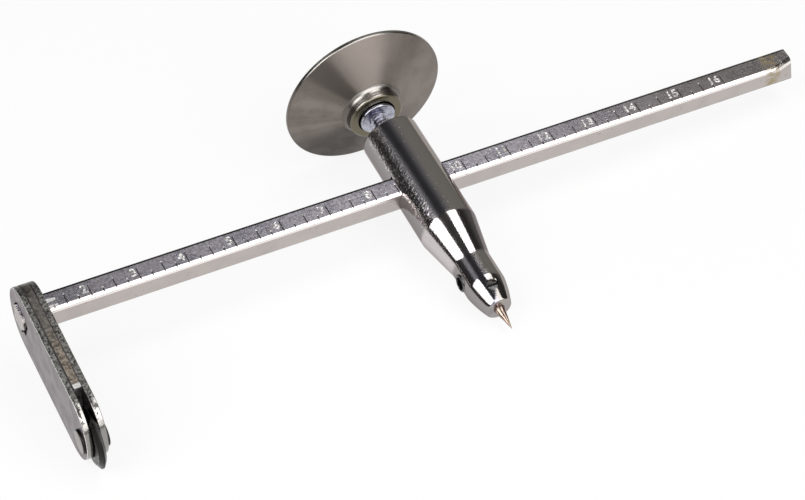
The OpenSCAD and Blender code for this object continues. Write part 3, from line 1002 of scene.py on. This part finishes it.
class CIRCLECUTTER_OT_turned_body(bpy.types.Operator):
    """Turns the body and cuts its holes"""

    bl_idname = "circle_cutter.turned_body"
    bl_label = "Turned body"

    def execute(self, context):
        size = in_mm(context.scene.cutter_body)
        end, top = BODY_LOW.z, BODY_HIGH.z
        nose_end, shoulder = (size.end_radius, end), (size.nose_radius, size.shoulder)
        neck, waist = (size.nose_radius, size.taper_bottom), (size.radius, size.taper_top)
        curve = arc_between(nose_end, shoulder, size.nose_curve, steps=8)
        profile = [(0, end), nose_end, *curve, shoulder, neck, waist, (size.radius, top), (0, top)]
        bm = turned(profile, FINE_STEPS)
        round_rings(bm, [nose_end, shoulder, neck, waist, (size.radius, top)], size.edge_round, segments=4)
        thread = SHOE_HIGH.x + size.beam_fit
        point = POINT_HIGH.x + size.fit
        socket = SET_HIGH.y + size.fit
        grub = GRUB_HIGH.x + size.fit
        hole = BEAM_HIGH.y + size.beam_fit
        reach = size.radius + OVER
        mouth, lip = GRUB_LOW.y - size.slot_depth, size.lip
        bm = carved(
            bm,
            block((-reach, -hole, BEAM_Z - hole), (reach, hole, BEAM_Z + hole)),
            bar((0, 0, BEAM_Z), (0, 0, top + OVER), thread),
            bar((0, 0, end - OVER), (0, 0, POINT_HIGH.z), point),
            bar((-reach, 0, SET_Z), (0, 0, SET_Z), socket),
            bar((0, -reach, GRUB_Z), (0, 0, GRUB_Z), grub),
            bar((0, mouth - lip, GRUB_Z), (0, mouth + lip, GRUB_Z), grub + 2 * lip, grub),
        )
        finish = plated_finish(context.scene.cutter_finish, size)
        place_piece(bm, "turned_body", "handle_body", [finish])
        return {"FINISHED"}


class CIRCLECUTTER_OT_point(bpy.types.Operator):
    """Grinds the centre point"""

    bl_idname = "circle_cutter.point"
    bl_label = "Centre point"

    def execute(self, context):
        size = in_mm(context.scene.cutter_body)
        radius, top = POINT_HIGH.x, POINT_HIGH.z
        profile = [(0, 0), (size.tip_radius, 0), (radius, BODY_LOW.z), (radius, top), (0, top)]
        bm = turned(profile, SMALL_STEPS)
        round_rings(bm, [(radius, BODY_LOW.z)], size.edge_round)
        finish = point_finish(context.scene.cutter_finish)
        place_piece(bm, "ground_point", "centre_point", [finish])
        return {"FINISHED"}


class CIRCLECUTTER_OT_point_screws(bpy.types.Operator):
    """Makes the socket screw and the slotted grub screw that hold the point"""

    bl_idname = "circle_cutter.point_screws"
    bl_label = "Point screws"

    def execute(self, context):
        size = in_mm(context.scene.cutter_body)
        finish = oxide_finish(context.scene.cutter_finish)
        radius, depth = SET_HIGH.y, SET_HIGH.x - SET_LOW.x
        bm = round_rings(pin(radius, 0, depth), [(radius, depth)], size.edge_round)
        corner, lip = hexagon_corner(size.socket), size.lip
        bm = carved(
            bm,
            bar((0, 0, depth - size.socket_depth), (0, 0, depth + OVER), corner, segments=6),
            bar((0, 0, depth - lip), (0, 0, depth + lip), corner - lip, corner + lip),
        )
        lie_along(bm, (-1, 0, 0), (SET_HIGH.x, 0, SET_Z))
        place_piece(bm, "socket_screw", "point_set_screw", [finish])
        radius, depth = GRUB_HIGH.x, GRUB_HIGH.y - GRUB_LOW.y
        bm = round_rings(pin(radius, 0, depth), [(radius, depth)], size.grub_round)
        bm = slotted(bm, radius, depth, size.slot_width, size.slot_depth)
        lie_along(bm, (0, -1, 0), (0, GRUB_HIGH.y, GRUB_Z))
        place_piece(bm, "slotted_grub", "point_grub_screw", [finish])
        return {"FINISHED"}


class CIRCLECUTTER_OT_scale_beam(bpy.types.Operator):
    """Draws the square beam and stamps its scale"""

    bl_idname = "circle_cutter.scale_beam"
    bl_label = "Scale beam"

    def execute(self, context):
        size = in_mm(context.scene.cutter_beam)
        colours = context.scene.cutter_finish
        bm = bmesh.new()
        add_block(bm, BEAM_LOW, BEAM_HIGH)
        self.file_end(bm, size)
        self.round_edges(bm, size)
        finishes = [
            beam_finish(colours, size), dirt_and_shade_finish(colours), glint_finish(colours),
            glint_finish(colours, "dents_glint", DENT_GLINT_TONE),
        ]
        bm = carved(bm, self.broken_corner(size), *self.stakes(size), finishes=finishes)
        cutters = self.scale_cutters(size, context.scene.cutter_scale)
        bm = carved(bm, *cutters, finishes=finishes, crossing=True)
        place_piece(bm, "stamped_beam", "scale_beam", finishes, flat=True)
        return {"FINISHED"}

    def file_end(self, bm, size):
        """Files the lower front edge away towards the free end."""
        start = Vector((BEAM_HIGH.x - size.filed, BEAM_LOW.y, BEAM_LOW.z))
        front = Vector((BEAM_HIGH.x, BEAM_LOW.y, BEAM_LOW.z + size.filed_depth))
        back = Vector((BEAM_HIGH.x, BEAM_HIGH.y - size.edge, BEAM_LOW.z))
        away = (front - start).cross(back - start)
        cut_away(bm, start, away if away.z < 0 else -away)

    def round_edges(self, bm, size):
        """Rounds the long edges but not the filed one, and chamfers the two ends."""
        long_edges = [
            edge for edge in bm.edges
            if abs(edge.verts[0].co.x - edge.verts[1].co.x) > OVER and edge.calc_face_angle() > FILED_TURN
        ]
        bevelled(bm, long_edges, size.edge, segments=6)
        for end, width in ((BEAM_HIGH.x, size.chamfer), (BEAM_LOW.x, size.chamfer / 3)):
            rim = [edge for edge in bm.edges if all(abs(vert.co.x - end) < MERGE for vert in edge.verts)]
            bevelled(bm, rim, width)

    def broken_corner(self, size):
        """The wedge that is missing from the lower corner of the staked end."""
        low, floor, side = BEAM_LOW.z, BEAM_LOW.z - OVER / 2, BEAM_HIGH.y + OVER / 2
        inner_y, inner_z = BROKEN_INNER
        outline = (BROKEN_START, floor), (side, floor), (side, low + BROKEN_SIDE), (inner_y, low + inner_z)
        wedge = prism(outline, BEAM_LOW.x - OVER, BEAM_LOW.x + size.broken)
        # Its faces take the dark finish: painted shade in the gap
        return in_slot(wedge, BEAM_DIRT_AND_SHADE)

    def stakes(self, size):
        """The two dents that a punch left in the scale's face, beside the arm."""
        arm, front = INNER_HIGH.x, BEAM_LOW.y
        dents = []
        for low, high, tip in STAKE_HEIGHTS:
            ends = (
                (arm, front + size.stake_depth, (low, high)),
                (arm + size.stake, front - STAKE_LIFT, (tip - STAKE_TIP, tip + STAKE_TIP)),
            )
            corners = [
                (x, y, BEAM_LOW.z + z)
                for x, bottom, heights in ends for y in (front - OVER, bottom) for z in heights
            ]
            # The dents take the painted glint finish
            dents.append(in_slot(hull(*corners), BEAM_DENT_GLINT))
        return dents

    def scale_cutters(self, size, numbers):
        """The punches of the scale: all its marks, the marks' ends and the digits."""
        marks, ends, digits = bmesh.new(), bmesh.new(), bmesh.new()
        zero = WHEEL_CENTRE.x - size.zero
        diamond = Matrix.Rotation(radians(45), 4, "Z")
        heights = {0: size.long_mark, numbers.marks // 2: size.half_mark}
        half = size.mark_width / 2
        # A punch stands a little off the face, so that none of its edges lies in the face's plane
        clear = BEAM_LOW.y - half / 3
        for count in range(1 - numbers.marks, (numbers.last - numbers.first) * numbers.marks + 1):
            x = zero + size.step * (numbers.first + count / numbers.marks)
            part = count % numbers.marks
            top = BEAM_LOW.z + heights.get(part, size.short_mark)
            low = (x - half, clear - half, BEAM_LOW.z - OVER)
            add_block(marks, low, (x + half, clear + half, top), diamond)
            if part:
                middle, reach = Vector((x, clear, top)), Vector([size.mark_end / 2] * 3)
                add_block(ends, middle - reach, middle + reach, diamond)
            else:
                self.add_digits(digits, str(numbers.first + count // numbers.marks), x, size)
        # The marks' ends and the digits take the painted glint finish
        return in_slot(marks, BEAM_DIRT_AND_SHADE), in_slot(ends, BEAM_STAMPING_GLINT), in_slot(digits, BEAM_STAMPING_GLINT)

    def add_digits(self, bm, text, mark_x, size):
        """Adds the punch of one number, which ends a little before its mark."""
        letters = bpy.data.curves.new("digits", "FONT")
        letters.body = text
        letters.resolution_u = 4
        letters.bevel_depth = PUNCH_SLOPE
        letters.bevel_resolution = 0
        carrier = bpy.data.objects.new("digits", letters)
        bpy.context.scene.collection.objects.link(carrier)
        finished = carrier.evaluated_get(bpy.context.evaluated_depsgraph_get())
        punch = bmesh.new()
        punch.from_mesh(finished.to_mesh())
        bpy.data.objects.remove(carrier)
        bpy.data.curves.remove(letters)
        bmesh.ops.remove_doubles(punch, verts=punch.verts, dist=MERGE)
        bmesh.ops.dissolve_degenerate(punch, edges=punch.edges, dist=MERGE)
        right = max(vert.co.x for vert in punch.verts)
        low = min(vert.co.y for vert in punch.verts)
        high = max(vert.co.y for vert in punch.verts)
        deep = max(vert.co.z for vert in punch.verts)
        scale = size.digit_height / (high - low)
        clear = BEAM_LOW.y - size.digit_depth / 4
        foot = Vector((mark_x - size.digit_gap, clear, BEAM_LOW.z + size.digit_base))
        place = (
            Matrix.Translation(foot)
            @ Matrix.Rotation(radians(90), 4, "X")
            @ Matrix.Diagonal((scale, scale, size.digit_depth / deep, 1))
            @ Matrix.Translation((-right, -low, 0))
        )
        bmesh.ops.transform(punch, matrix=place, verts=punch.verts)
        mesh = bpy.data.meshes.new("digits")
        punch.to_mesh(mesh)
        punch.free()
        bm.from_mesh(mesh)
        bpy.data.meshes.remove(mesh)


class CIRCLECUTTER_OT_arm_plates(bpy.types.Operator):
    """Cuts the arm's two plates and the spacer between them"""

    bl_idname = "circle_cutter.arm_plates"
    bl_label = "Arm plates"

    def execute(self, context):
        size = in_mm(context.scene.cutter_arm)
        colours = context.scene.cutter_finish
        face, dirt_and_shade = arm_finish(colours), dirt_and_shade_finish(colours)
        edge, oiled = sheared_finish(colours), spacer_finish(colours)
        wear_and_highlight = glint_finish(colours, "worn_edge_glint", WORN_GLINT_TONE)
        sheets = (
            ("outer_plate", "arm_outer_plate", "arm_steel", OUTER_LOW, OUTER_HIGH, edge),
            ("spacer_sheet", "arm_spacer", "spacer_steel", SPACER_LOW, SPACER_HIGH, oiled),
            ("inner_plate", "arm_inner_plate", "arm_steel", INNER_LOW, INNER_HIGH, edge),
        )
        seam, side = (OUTER_HIGH.x + SPACER_LOW.x) / 2, BEAM_HIGH.y
        for name, node, slot, low, high, rim_finish in sheets:
            outer = node == "arm_outer_plate"
            finishes = [face, rim_finish, dirt_and_shade, wear_and_highlight]
            bm = self.sheet(low, high, OUTER_LOW.z, size.edge)
            for rim in bm.faces:
                rim.material_index = ARM_RIM if abs(rim.normal.x) < RIM_TILT else 0
                # Faces along the seam between the outer plate and the spacer take the dark finish
                if abs(rim.calc_center_median().x - seam) < size.edge:
                    rim.material_index = ARM_DIRT_AND_SHADE
                # The outer plate's slanted edge faces take a painted glint
                elif outer and -FACE_TILT < rim.normal.x < -RIM_TILT:
                    rim.material_index = ARM_WORN_GLINT
            start, end = low.x - OVER, high.x + OVER
            cutters = [block((start, -side, BEAM_Z - side), (end, side, BEAM_Z + side))]
            if node != "arm_spacer":
                cutters.append(bar((start, 0, WHEEL_CENTRE.z), (end, 0, WHEEL_CENTRE.z), size.axle))
            if outer:
                # The open corner's faces take the dark finish: painted shade in the gap
                under = BEAM_LOW.z + MERGE
                outline = (GAP_START, under), (side, under), (GAP_TIP, under - size.gap)
                cutters.append(in_slot(prism(outline, start, low.x + OVER), ARM_DIRT_AND_SHADE))
            bm = carved(bm, *cutters, finishes=finishes)
            place_piece(bm, name, node, finishes, flat=True)
        return {"FINISHED"}

    def sheet(self, low, high, round_low, edge):
        """A sheet with round ends, cut off at its own lower height, with its rims rounded."""
        bm = bmesh.new()
        radius = high.y
        for height, start in ((high.z - radius, 1), (round_low + radius, -1)):
            vert = bm.verts.new((low.x, start * radius, height))
            bmesh.ops.spin(
                bm, geom=[vert], cent=(low.x, 0, height), axis=(1, 0, 0), angle=pi, steps=SMALL_STEPS // 2
            )
        ends = [vert for vert in bm.verts if len(vert.link_edges) == 1]
        for side in (-1, 1):
            bm.edges.new([vert for vert in ends if vert.co.y * side > 0])
        bmesh.ops.contextual_create(bm, geom=bm.edges)
        raised = bmesh.ops.extrude_face_region(bm, geom=bm.faces[:])["geom"]
        moved = [item for item in raised if isinstance(item, bmesh.types.BMVert)]
        bmesh.ops.translate(bm, verts=moved, vec=(high.x - low.x, 0, 0))
        tidied(bm)
        if low.z > round_low + MERGE:
            cut_away(bm, (0, 0, low.z), (0, 0, -1))
        ends = [face for face in bm.faces if abs(face.normal.x) > FACE_TILT]
        rims = {bounding for end in ends for bounding in end.edges}
        return tidied(bevelled(bm, list(rims), edge))


class CIRCLECUTTER_OT_axle_rivet(bpy.types.Operator):
    """Rivets the wheel's axle"""

    bl_idname = "circle_cutter.axle_rivet"
    bl_label = "Axle rivet"

    def execute(self, context):
        size = in_mm(context.scene.cutter_arm)
        depth, radius = AXLE_HIGH.x - AXLE_LOW.x, AXLE_HIGH.y
        profile = [
            (0, 0), (radius, 0), (radius, size.head), (size.axle, size.head),
            (size.axle, depth - size.head), (radius, depth - size.head), (radius, depth), (0, depth),
        ]
        bm = turned(profile, SMALL_STEPS)
        round_rings(bm, [(radius, 0), (radius, depth)], size.head_edge, segments=4)
        lie_along(bm, (1, 0, 0), (AXLE_LOW.x, 0, WHEEL_CENTRE.z))
        finish = rivet_finish(context.scene.cutter_finish)
        place_piece(bm, "axle_rivet", "wheel_axle", [finish])
        return {"FINISHED"}


class CIRCLECUTTER_OT_cutting_wheel(bpy.types.Operator):
    """Grinds the cutting wheel"""

    bl_idname = "circle_cutter.cutting_wheel"
    bl_label = "Cutting wheel"

    def execute(self, context):
        size = in_mm(context.scene.cutter_arm)
        radius, half = WHEEL_HIGH.y, (WHEEL_HIGH.x - WHEEL_LOW.x) / 2
        bore, flat = size.axle + size.bore_fit, radius - size.bevel
        edge = size.wheel_edge / 2
        profile = [
            (bore, -half), (flat, -half), (radius, -edge), (radius, edge), (flat, half), (bore, half),
        ]
        bm = turned(profile, FINE_STEPS, closed=True)
        lie_along(bm, (1, 0, 0), WHEEL_CENTRE)
        finish = wheel_finish(context.scene.cutter_finish)
        place_piece(bm, "cutting_wheel", "cutter_wheel", [finish], sharp=20)
        return {"FINISHED"}


class CIRCLECUTTER_OT_palm_disc(bpy.types.Operator):
    """Turns the dished palm disc with its collar"""

    bl_idname = "circle_cutter.palm_disc"
    bl_label = "Palm disc"

    def execute(self, context):
        size = in_mm(context.scene.cutter_disc)
        clamp = in_mm(context.scene.cutter_clamp)
        tilt = context.scene.cutter_disc.tilt
        slope = tan(tilt)
        radius, mouth = DISC_HIGH.x, DISC_LOW.z
        rim, up = mouth + size.rim, size.sheet / cos(tilt)
        web_low, bore = mouth + size.cup_depth, clamp.thread + clamp.fit
        web_top = web_low + size.web
        turn = size.hub + size.fillet
        centre = (turn, rim - (radius - turn) * slope - size.fillet / cos(tilt))
        floor = radius - (rim + up - web_top) / slope
        lip = arc((size.hub - size.lip, mouth + size.lip), size.lip, -pi / 2, 0, steps=10)
        fillet = arc(centre, size.fillet, pi, pi / 2 + tilt, steps=14)
        profile = [
            (bore, web_low), (size.cup, web_low), (size.cup, mouth), *lip, *fillet,
            (radius, rim), (radius, rim + up), (floor, web_top), (bore, web_top),
        ]
        bm = turned(profile, FINE_STEPS, closed=True)
        round_rings(bm, [(radius, rim), (radius, rim + up), (size.cup, mouth)], size.edge, segments=4)
        self.add_turning(bm)
        # The collar and the rim have the second finish
        inner, outer = size.hub + size.fillet * 0.8, radius - size.edge / 2
        for face in bm.faces:
            face.material_index = int(not inner < hypot(*face.calc_center_median().xy) < outer)
        colours = context.scene.cutter_finish
        finishes = [disc_finish(colours), collar_finish(colours)]
        place_piece(bm, "dished_disc", "palm_disc", finishes, sharp=40)
        return {"FINISHED"}

    def add_turning(self, bm):
        """Adds a UV map that runs out along the radius and round with the angle."""
        layer = bm.loops.layers.uv.new("turning")
        for face in bm.faces:
            middle = face.calc_center_median()
            heading = atan2(middle.y, middle.x)
            for loop in face.loops:
                spot = loop.vert.co
                away = atan2(spot.y, spot.x) - heading
                away -= 2 * pi * round(away / (2 * pi))
                reach = hypot(spot.x, spot.y) + spot.z - DISC_LOW.z
                loop[layer].uv = (reach / DISC_HIGH.x, (heading + away) / (2 * pi))


class CIRCLECUTTER_OT_clamp_fasteners(bpy.types.Operator):
    """Threads the clamp screw and adds its nut and split washer"""

    bl_idname = "circle_cutter.clamp_fasteners"
    bl_label = "Clamp fasteners"

    def execute(self, context):
        size = in_mm(context.scene.cutter_clamp)
        finish = zinc_finish(context.scene.cutter_finish)
        place_piece(self.screw(size), "threaded_screw", "clamp_screw", [finish])
        place_piece(self.nut(size), "hex_nut", "lock_nut", [finish])
        place_piece(self.washer(size), "split_washer", "lock_washer", [finish])
        return {"FINISHED"}

    def screw(self, size):
        """The slotted screw, with its thread cut as one helix."""
        crest, root = size.thread, size.thread - size.depth
        low, high, top = SCREW_LOW.z, NUT_HIGH.z, SCREW_HIGH.z
        # One tooth: radius, and height as a share of the pitch
        tooth = ((root, 0), (crest, 0.4), (crest, 0.5), (root, 0.9), (root, 1))
        start = low - SPARE_TURNS * size.pitch
        bm = bmesh.new()
        verts = [bm.verts.new((radius, 0, start + size.pitch * share)) for radius, share in tooth]
        edges = [bm.edges.new(pair) for pair in zip(verts, verts[1:])]
        turns = int((high - low) / size.pitch) + 2 * SPARE_TURNS
        bmesh.ops.spin(
            bm, geom=verts + edges, axis=(0, 0, 1), cent=(0, 0, 0), angle=2 * pi * turns,
            steps=turns * THREAD_STEPS, dvec=(0, 0, size.pitch / THREAD_STEPS),
        )
        tidied(bm)
        for height, side in ((low, -1), (high + size.depth / 2, 1)):
            cut_away(bm, (0, 0, height), (0, 0, side))
        # The head stands on a shank that is a little wider than the thread, so that the two join cleanly
        radius, under, foot = SCREW_HIGH.x, top - size.head, high - size.pitch
        shank = crest + size.depth / 20
        profile = [
            (0, foot), (root - size.depth / 2, foot), (shank, high), (shank, under),
            (radius, under), (radius, top), (0, top),
        ]
        head = round_rings(turned(profile, FINE_STEPS // 2), [(radius, top)], size.corner, segments=4)
        head = slotted(head, radius, top, size.slot_width, size.slot_depth)
        return carved(bm, head, operation="UNION")

    def nut(self, size):
        """A hexagon nut with a round flange towards the collar's mouth."""
        corner, rim, bore = hexagon_corner(size.flats), size.flange_radius, size.thread + size.fit
        low, high = NUT_LOW.z, NUT_HIGH.z
        bm = bar((0, 0, low), (0, 0, high), corner, segments=6)
        profile = [
            (0, low), (corner - 2 * size.corner, low), (corner, low + size.corner),
            (corner, high - size.corner), (corner - 2 * size.corner, high), (0, high),
        ]
        bm = carved(bm, turned(profile, FINE_STEPS), operation="INTERSECT")
        flange = pin(rim, low, low + size.flange, FINE_STEPS)
        round_rings(flange, [(rim, low)], size.flange / 2, segments=4)
        bm = carved(bm, flange, operation="UNION")
        return carved(bm, bar((0, 0, low - OVER), (0, 0, high + OVER), bore))

    def washer(self, size):
        """A split lock washer."""
        low, high = WASHER_LOW.z, WASHER_HIGH.z
        bore, radius = size.thread + size.fit, WASHER_HIGH.x
        bm = turned([(bore, low), (radius, low), (radius, high), (bore, high)], SMALL_STEPS, closed=True)
        slit = bmesh.new()
        add_block(
            slit, (0, -size.split / 2, low - OVER), (2 * radius, size.split / 2, high + OVER),
            Matrix.Rotation(radians(30), 4, "X"),
        )
        return carved(bm, slit)


class CIRCLECUTTER_OT_clamp_shoe(bpy.types.Operator):
    """Turns the brass shoe under the clamp screw"""

    bl_idname = "circle_cutter.clamp_shoe"
    bl_label = "Clamp shoe"

    def execute(self, context):
        size = in_mm(context.scene.cutter_clamp)
        low, high, radius = SHOE_LOW.z, SHOE_HIGH.z, SHOE_HIGH.x
        bm = pin(radius, low, high)
        round_rings(bm, [(radius, low), (radius, high)], size.corner / 2, segments=2)
        finish = brass_finish(context.scene.cutter_finish)
        place_piece(bm, "brass_shoe", "clamp_shoe", [finish])
        return {"FINISHED"}


class CIRCLECUTTER_OT_stage(bpy.types.Operator):
    """Lays the floor, hangs the lamps and sets the camera"""

    bl_idname = "circle_cutter.stage"
    bl_label = "Stage"

    def execute(self, context):
        stage = context.scene.cutter_stage
        context.scene.view_settings.view_transform = "Standard"
        self.floor(stage)
        self.walls(stage)
        self.room(context.scene, stage)
        # Softboxes by the direction they stand in: azimuth from +Y towards +X, elevation, width, height
        self.softbox("left_softbox", stage.lamp, -102, 40, 0.68, 0.64)
        self.softbox("top_softbox", stage.lamp, 86, 69, 0.36, 0.44)
        self.softbox("front_softbox", stage.fill, 163, 40, 1.0, 0.9)
        self.camera(context.scene, stage)
        return {"FINISHED"}

    def seen_plainly(self, nodes):
        """1 where the camera sees a surface, straight or in metal or glass."""
        path = nodes.add("ShaderNodeLightPath").outputs
        seen = nodes.maths("MAXIMUM", path["Is Camera Ray"], path["Is Glossy Ray"])
        return nodes.maths("MAXIMUM", seen, path["Is Transmission Ray"])

    def floor(self, stage):
        """A wide pale floor that keeps the tool's shadow."""
        bm = bmesh.new()
        bmesh.ops.create_grid(bm, x_segments=2, y_segments=2, size=FLOOR_HALF)
        material = bpy.data.materials.new("pale_floor")
        material.use_nodes = True
        nodes = Nodes(material.node_tree)
        shader = nodes.tree.nodes["Principled BSDF"]
        shader.inputs["Base Color"].default_value = (*stage.floor, 1)
        shader.inputs["Roughness"].default_value = 1
        shader.inputs["Specular IOR Level"].default_value = 0
        white = nodes.add("ShaderNodeEmission", {"Color": (1, 1, 1, 1), "Strength": 1.0})
        share = nodes.times(self.seen_plainly(nodes), stage.glow)
        mix = nodes.add("ShaderNodeMixShader", {0: share, 1: shader.outputs[0], 2: white.outputs[0]})
        nodes.link(mix.outputs[0], nodes.tree.nodes["Material Output"].inputs["Surface"])
        self.add_stage_mesh(bm, "studio_floor", material)

    def walls(self, stage):
        """The dark walls of the studio, which only reflections see."""
        bm = bmesh.new()
        bmesh.ops.create_uvsphere(bm, u_segments=48, v_segments=24, radius=WALL_RADIUS)
        bmesh.ops.bisect_plane(
            bm, geom=bm.verts[:] + bm.edges[:] + bm.faces[:], plane_co=(0, 0, MM), plane_no=(0, 0, 1),
            clear_inner=True,
        )
        material = bpy.data.materials.new("dark_walls")
        material.use_nodes = True
        nodes = Nodes(material.node_tree)
        nodes.tree.nodes.remove(nodes.tree.nodes["Principled BSDF"])
        place = nodes.add("ShaderNodeTexCoord").outputs["Object"]
        x, y, _ = nodes.split(place)
        # The lit parts: to the right at the back, in front, and one patch high on the left
        right = nodes.times(nodes.ease(x, -0.2, 0.9), nodes.ease(y, 0.25, 0.7, 0.0, stage.panel))
        front = nodes.ease(y, -0.6, -1.4, 0.0, stage.panel)
        inputs = {0: place, 1: (-0.92, 0.77, 1.34)}
        away = nodes.add("ShaderNodeVectorMath", inputs, operation="DISTANCE").outputs["Value"]
        patch = nodes.ease(away, 0.5, 0.25, 0.0, stage.panel)
        level = stage.wall
        for lit in (right, front, patch):
            level = nodes.plus(lit, level)
        glow = nodes.add("ShaderNodeEmission", {"Color": (1, 0.98, 0.96, 1), "Strength": level})
        nodes.link(glow.outputs[0], nodes.tree.nodes["Material Output"].inputs["Surface"])
        walls = self.add_stage_mesh(bm, "studio_walls", material)
        walls.visible_camera = False
        walls.visible_diffuse = False
        walls.visible_transmission = False
        walls.visible_shadow = False

    def add_stage_mesh(self, bm, name, material):
        """Links a mesh of the stage to the scene."""
        mesh = bpy.data.meshes.new(name)
        bm.to_mesh(mesh)
        bm.free()
        mesh.shade_smooth()
        mesh.materials.append(material)
        shown = bpy.data.objects.new(name, mesh)
        bpy.context.scene.collection.objects.link(shown)
        return shown

    def room(self, scene, stage):
        """A white room for the camera, and its soft light on matt surfaces."""
        world = bpy.data.worlds.new("studio_room")
        scene.world = world
        world.use_nodes = True
        nodes = Nodes(world.node_tree)
        background = nodes.tree.nodes["Background"].inputs
        nodes.link(nodes.spread(self.seen_plainly(nodes), stage.ambient, 1.0), background["Strength"])
        background["Color"].default_value = (1, 1, 1, 1)

    def softbox(self, name, level, azimuth, elevation, width, height):
        """A softbox that faces the tool and isn't seen by the camera."""
        turn, rise = radians(azimuth), radians(elevation)
        way = Vector((sin(turn) * cos(rise), cos(turn) * cos(rise), sin(rise)))
        light = bpy.data.lights.new(name, "AREA")
        light.shape = "RECTANGLE"
        light.size, light.size_y = width, height
        light.energy = level * pi * width * height
        lamp = bpy.data.objects.new(name, light)
        lamp.matrix_world = Matrix.Translation(way * LAMP_DISTANCE) @ turn_to(way)
        lamp.visible_camera = False
        bpy.context.scene.collection.objects.link(lamp)

    def camera(self, scene, stage):
        """The camera at the tool's viewing angle."""
        lens = bpy.data.cameras.new("bench_camera")
        lens.lens = stage.lens
        camera = bpy.data.objects.new("bench_camera", lens)
        turn, rise = stage.azimuth, stage.elevation
        back = Vector((sin(turn) * cos(rise), -cos(turn) * cos(rise), sin(rise)))
        place = Matrix.Translation(Vector(stage.aim) + back * stage.distance)
        camera.matrix_world = place @ turn_to(back) @ Matrix.Rotation(stage.roll, 4, "Z")
        scene.collection.objects.link(camera)
        scene.camera = camera


class CIRCLECUTTER_PT_pieces(bpy.types.Panel):
    """Sizes and colours of the circle cutter, and the steps that make it"""

    bl_idname = "CIRCLECUTTER_PT_pieces"
    bl_label = "Circle cutter"
    bl_space_type = "VIEW_3D"
    bl_region_type = "UI"
    bl_category = "Circle cutter"

    def draw(self, context):
        for name, group in GROUPS.items():
            box = self.layout.box()
            box.label(text=group.__doc__)
            for key in group.__annotations__:
                box.prop(getattr(context.scene, name), key)
        for step in STEPS:
            self.layout.operator(step.bl_idname)


GROUPS = {
    "cutter_body": BodySizes,
    "cutter_beam": BeamSizes,
    "cutter_scale": ScaleNumbers,
    "cutter_arm": ArmSizes,
    "cutter_disc": DiscSizes,
    "cutter_clamp": ClampSizes,
    "cutter_finish": FinishColours,
    "cutter_stage": StageSettings,
}
STEPS = (
    CIRCLECUTTER_OT_stage,
    CIRCLECUTTER_OT_turned_body,
    CIRCLECUTTER_OT_point,
    CIRCLECUTTER_OT_point_screws,
    CIRCLECUTTER_OT_scale_beam,
    CIRCLECUTTER_OT_arm_plates,
    CIRCLECUTTER_OT_axle_rivet,
    CIRCLECUTTER_OT_cutting_wheel,
    CIRCLECUTTER_OT_palm_disc,
    CIRCLECUTTER_OT_clamp_fasteners,
    CIRCLECUTTER_OT_clamp_shoe,
)


def register():
    """Registers the property groups, the operators and the panel."""
    for cls in (*GROUPS.values(), *STEPS, CIRCLECUTTER_PT_pieces):
        bpy.utils.register_class(cls)
    for name, group in GROUPS.items():
        setattr(bpy.types.Scene, name, PointerProperty(type=group))


def unregister():
    """Takes them out again, last first."""
    for name in reversed(GROUPS):
        delattr(bpy.types.Scene, name)
    for cls in reversed((*GROUPS.values(), *STEPS, CIRCLECUTTER_PT_pieces)):
        bpy.utils.unregister_class(cls)


def main():
    """Makes every piece and the stage."""
    register()
    for step in STEPS:
        getattr(bpy.ops.circle_cutter, step.bl_idname.split(".")[1])()


if __name__ == "__main__":
    main()
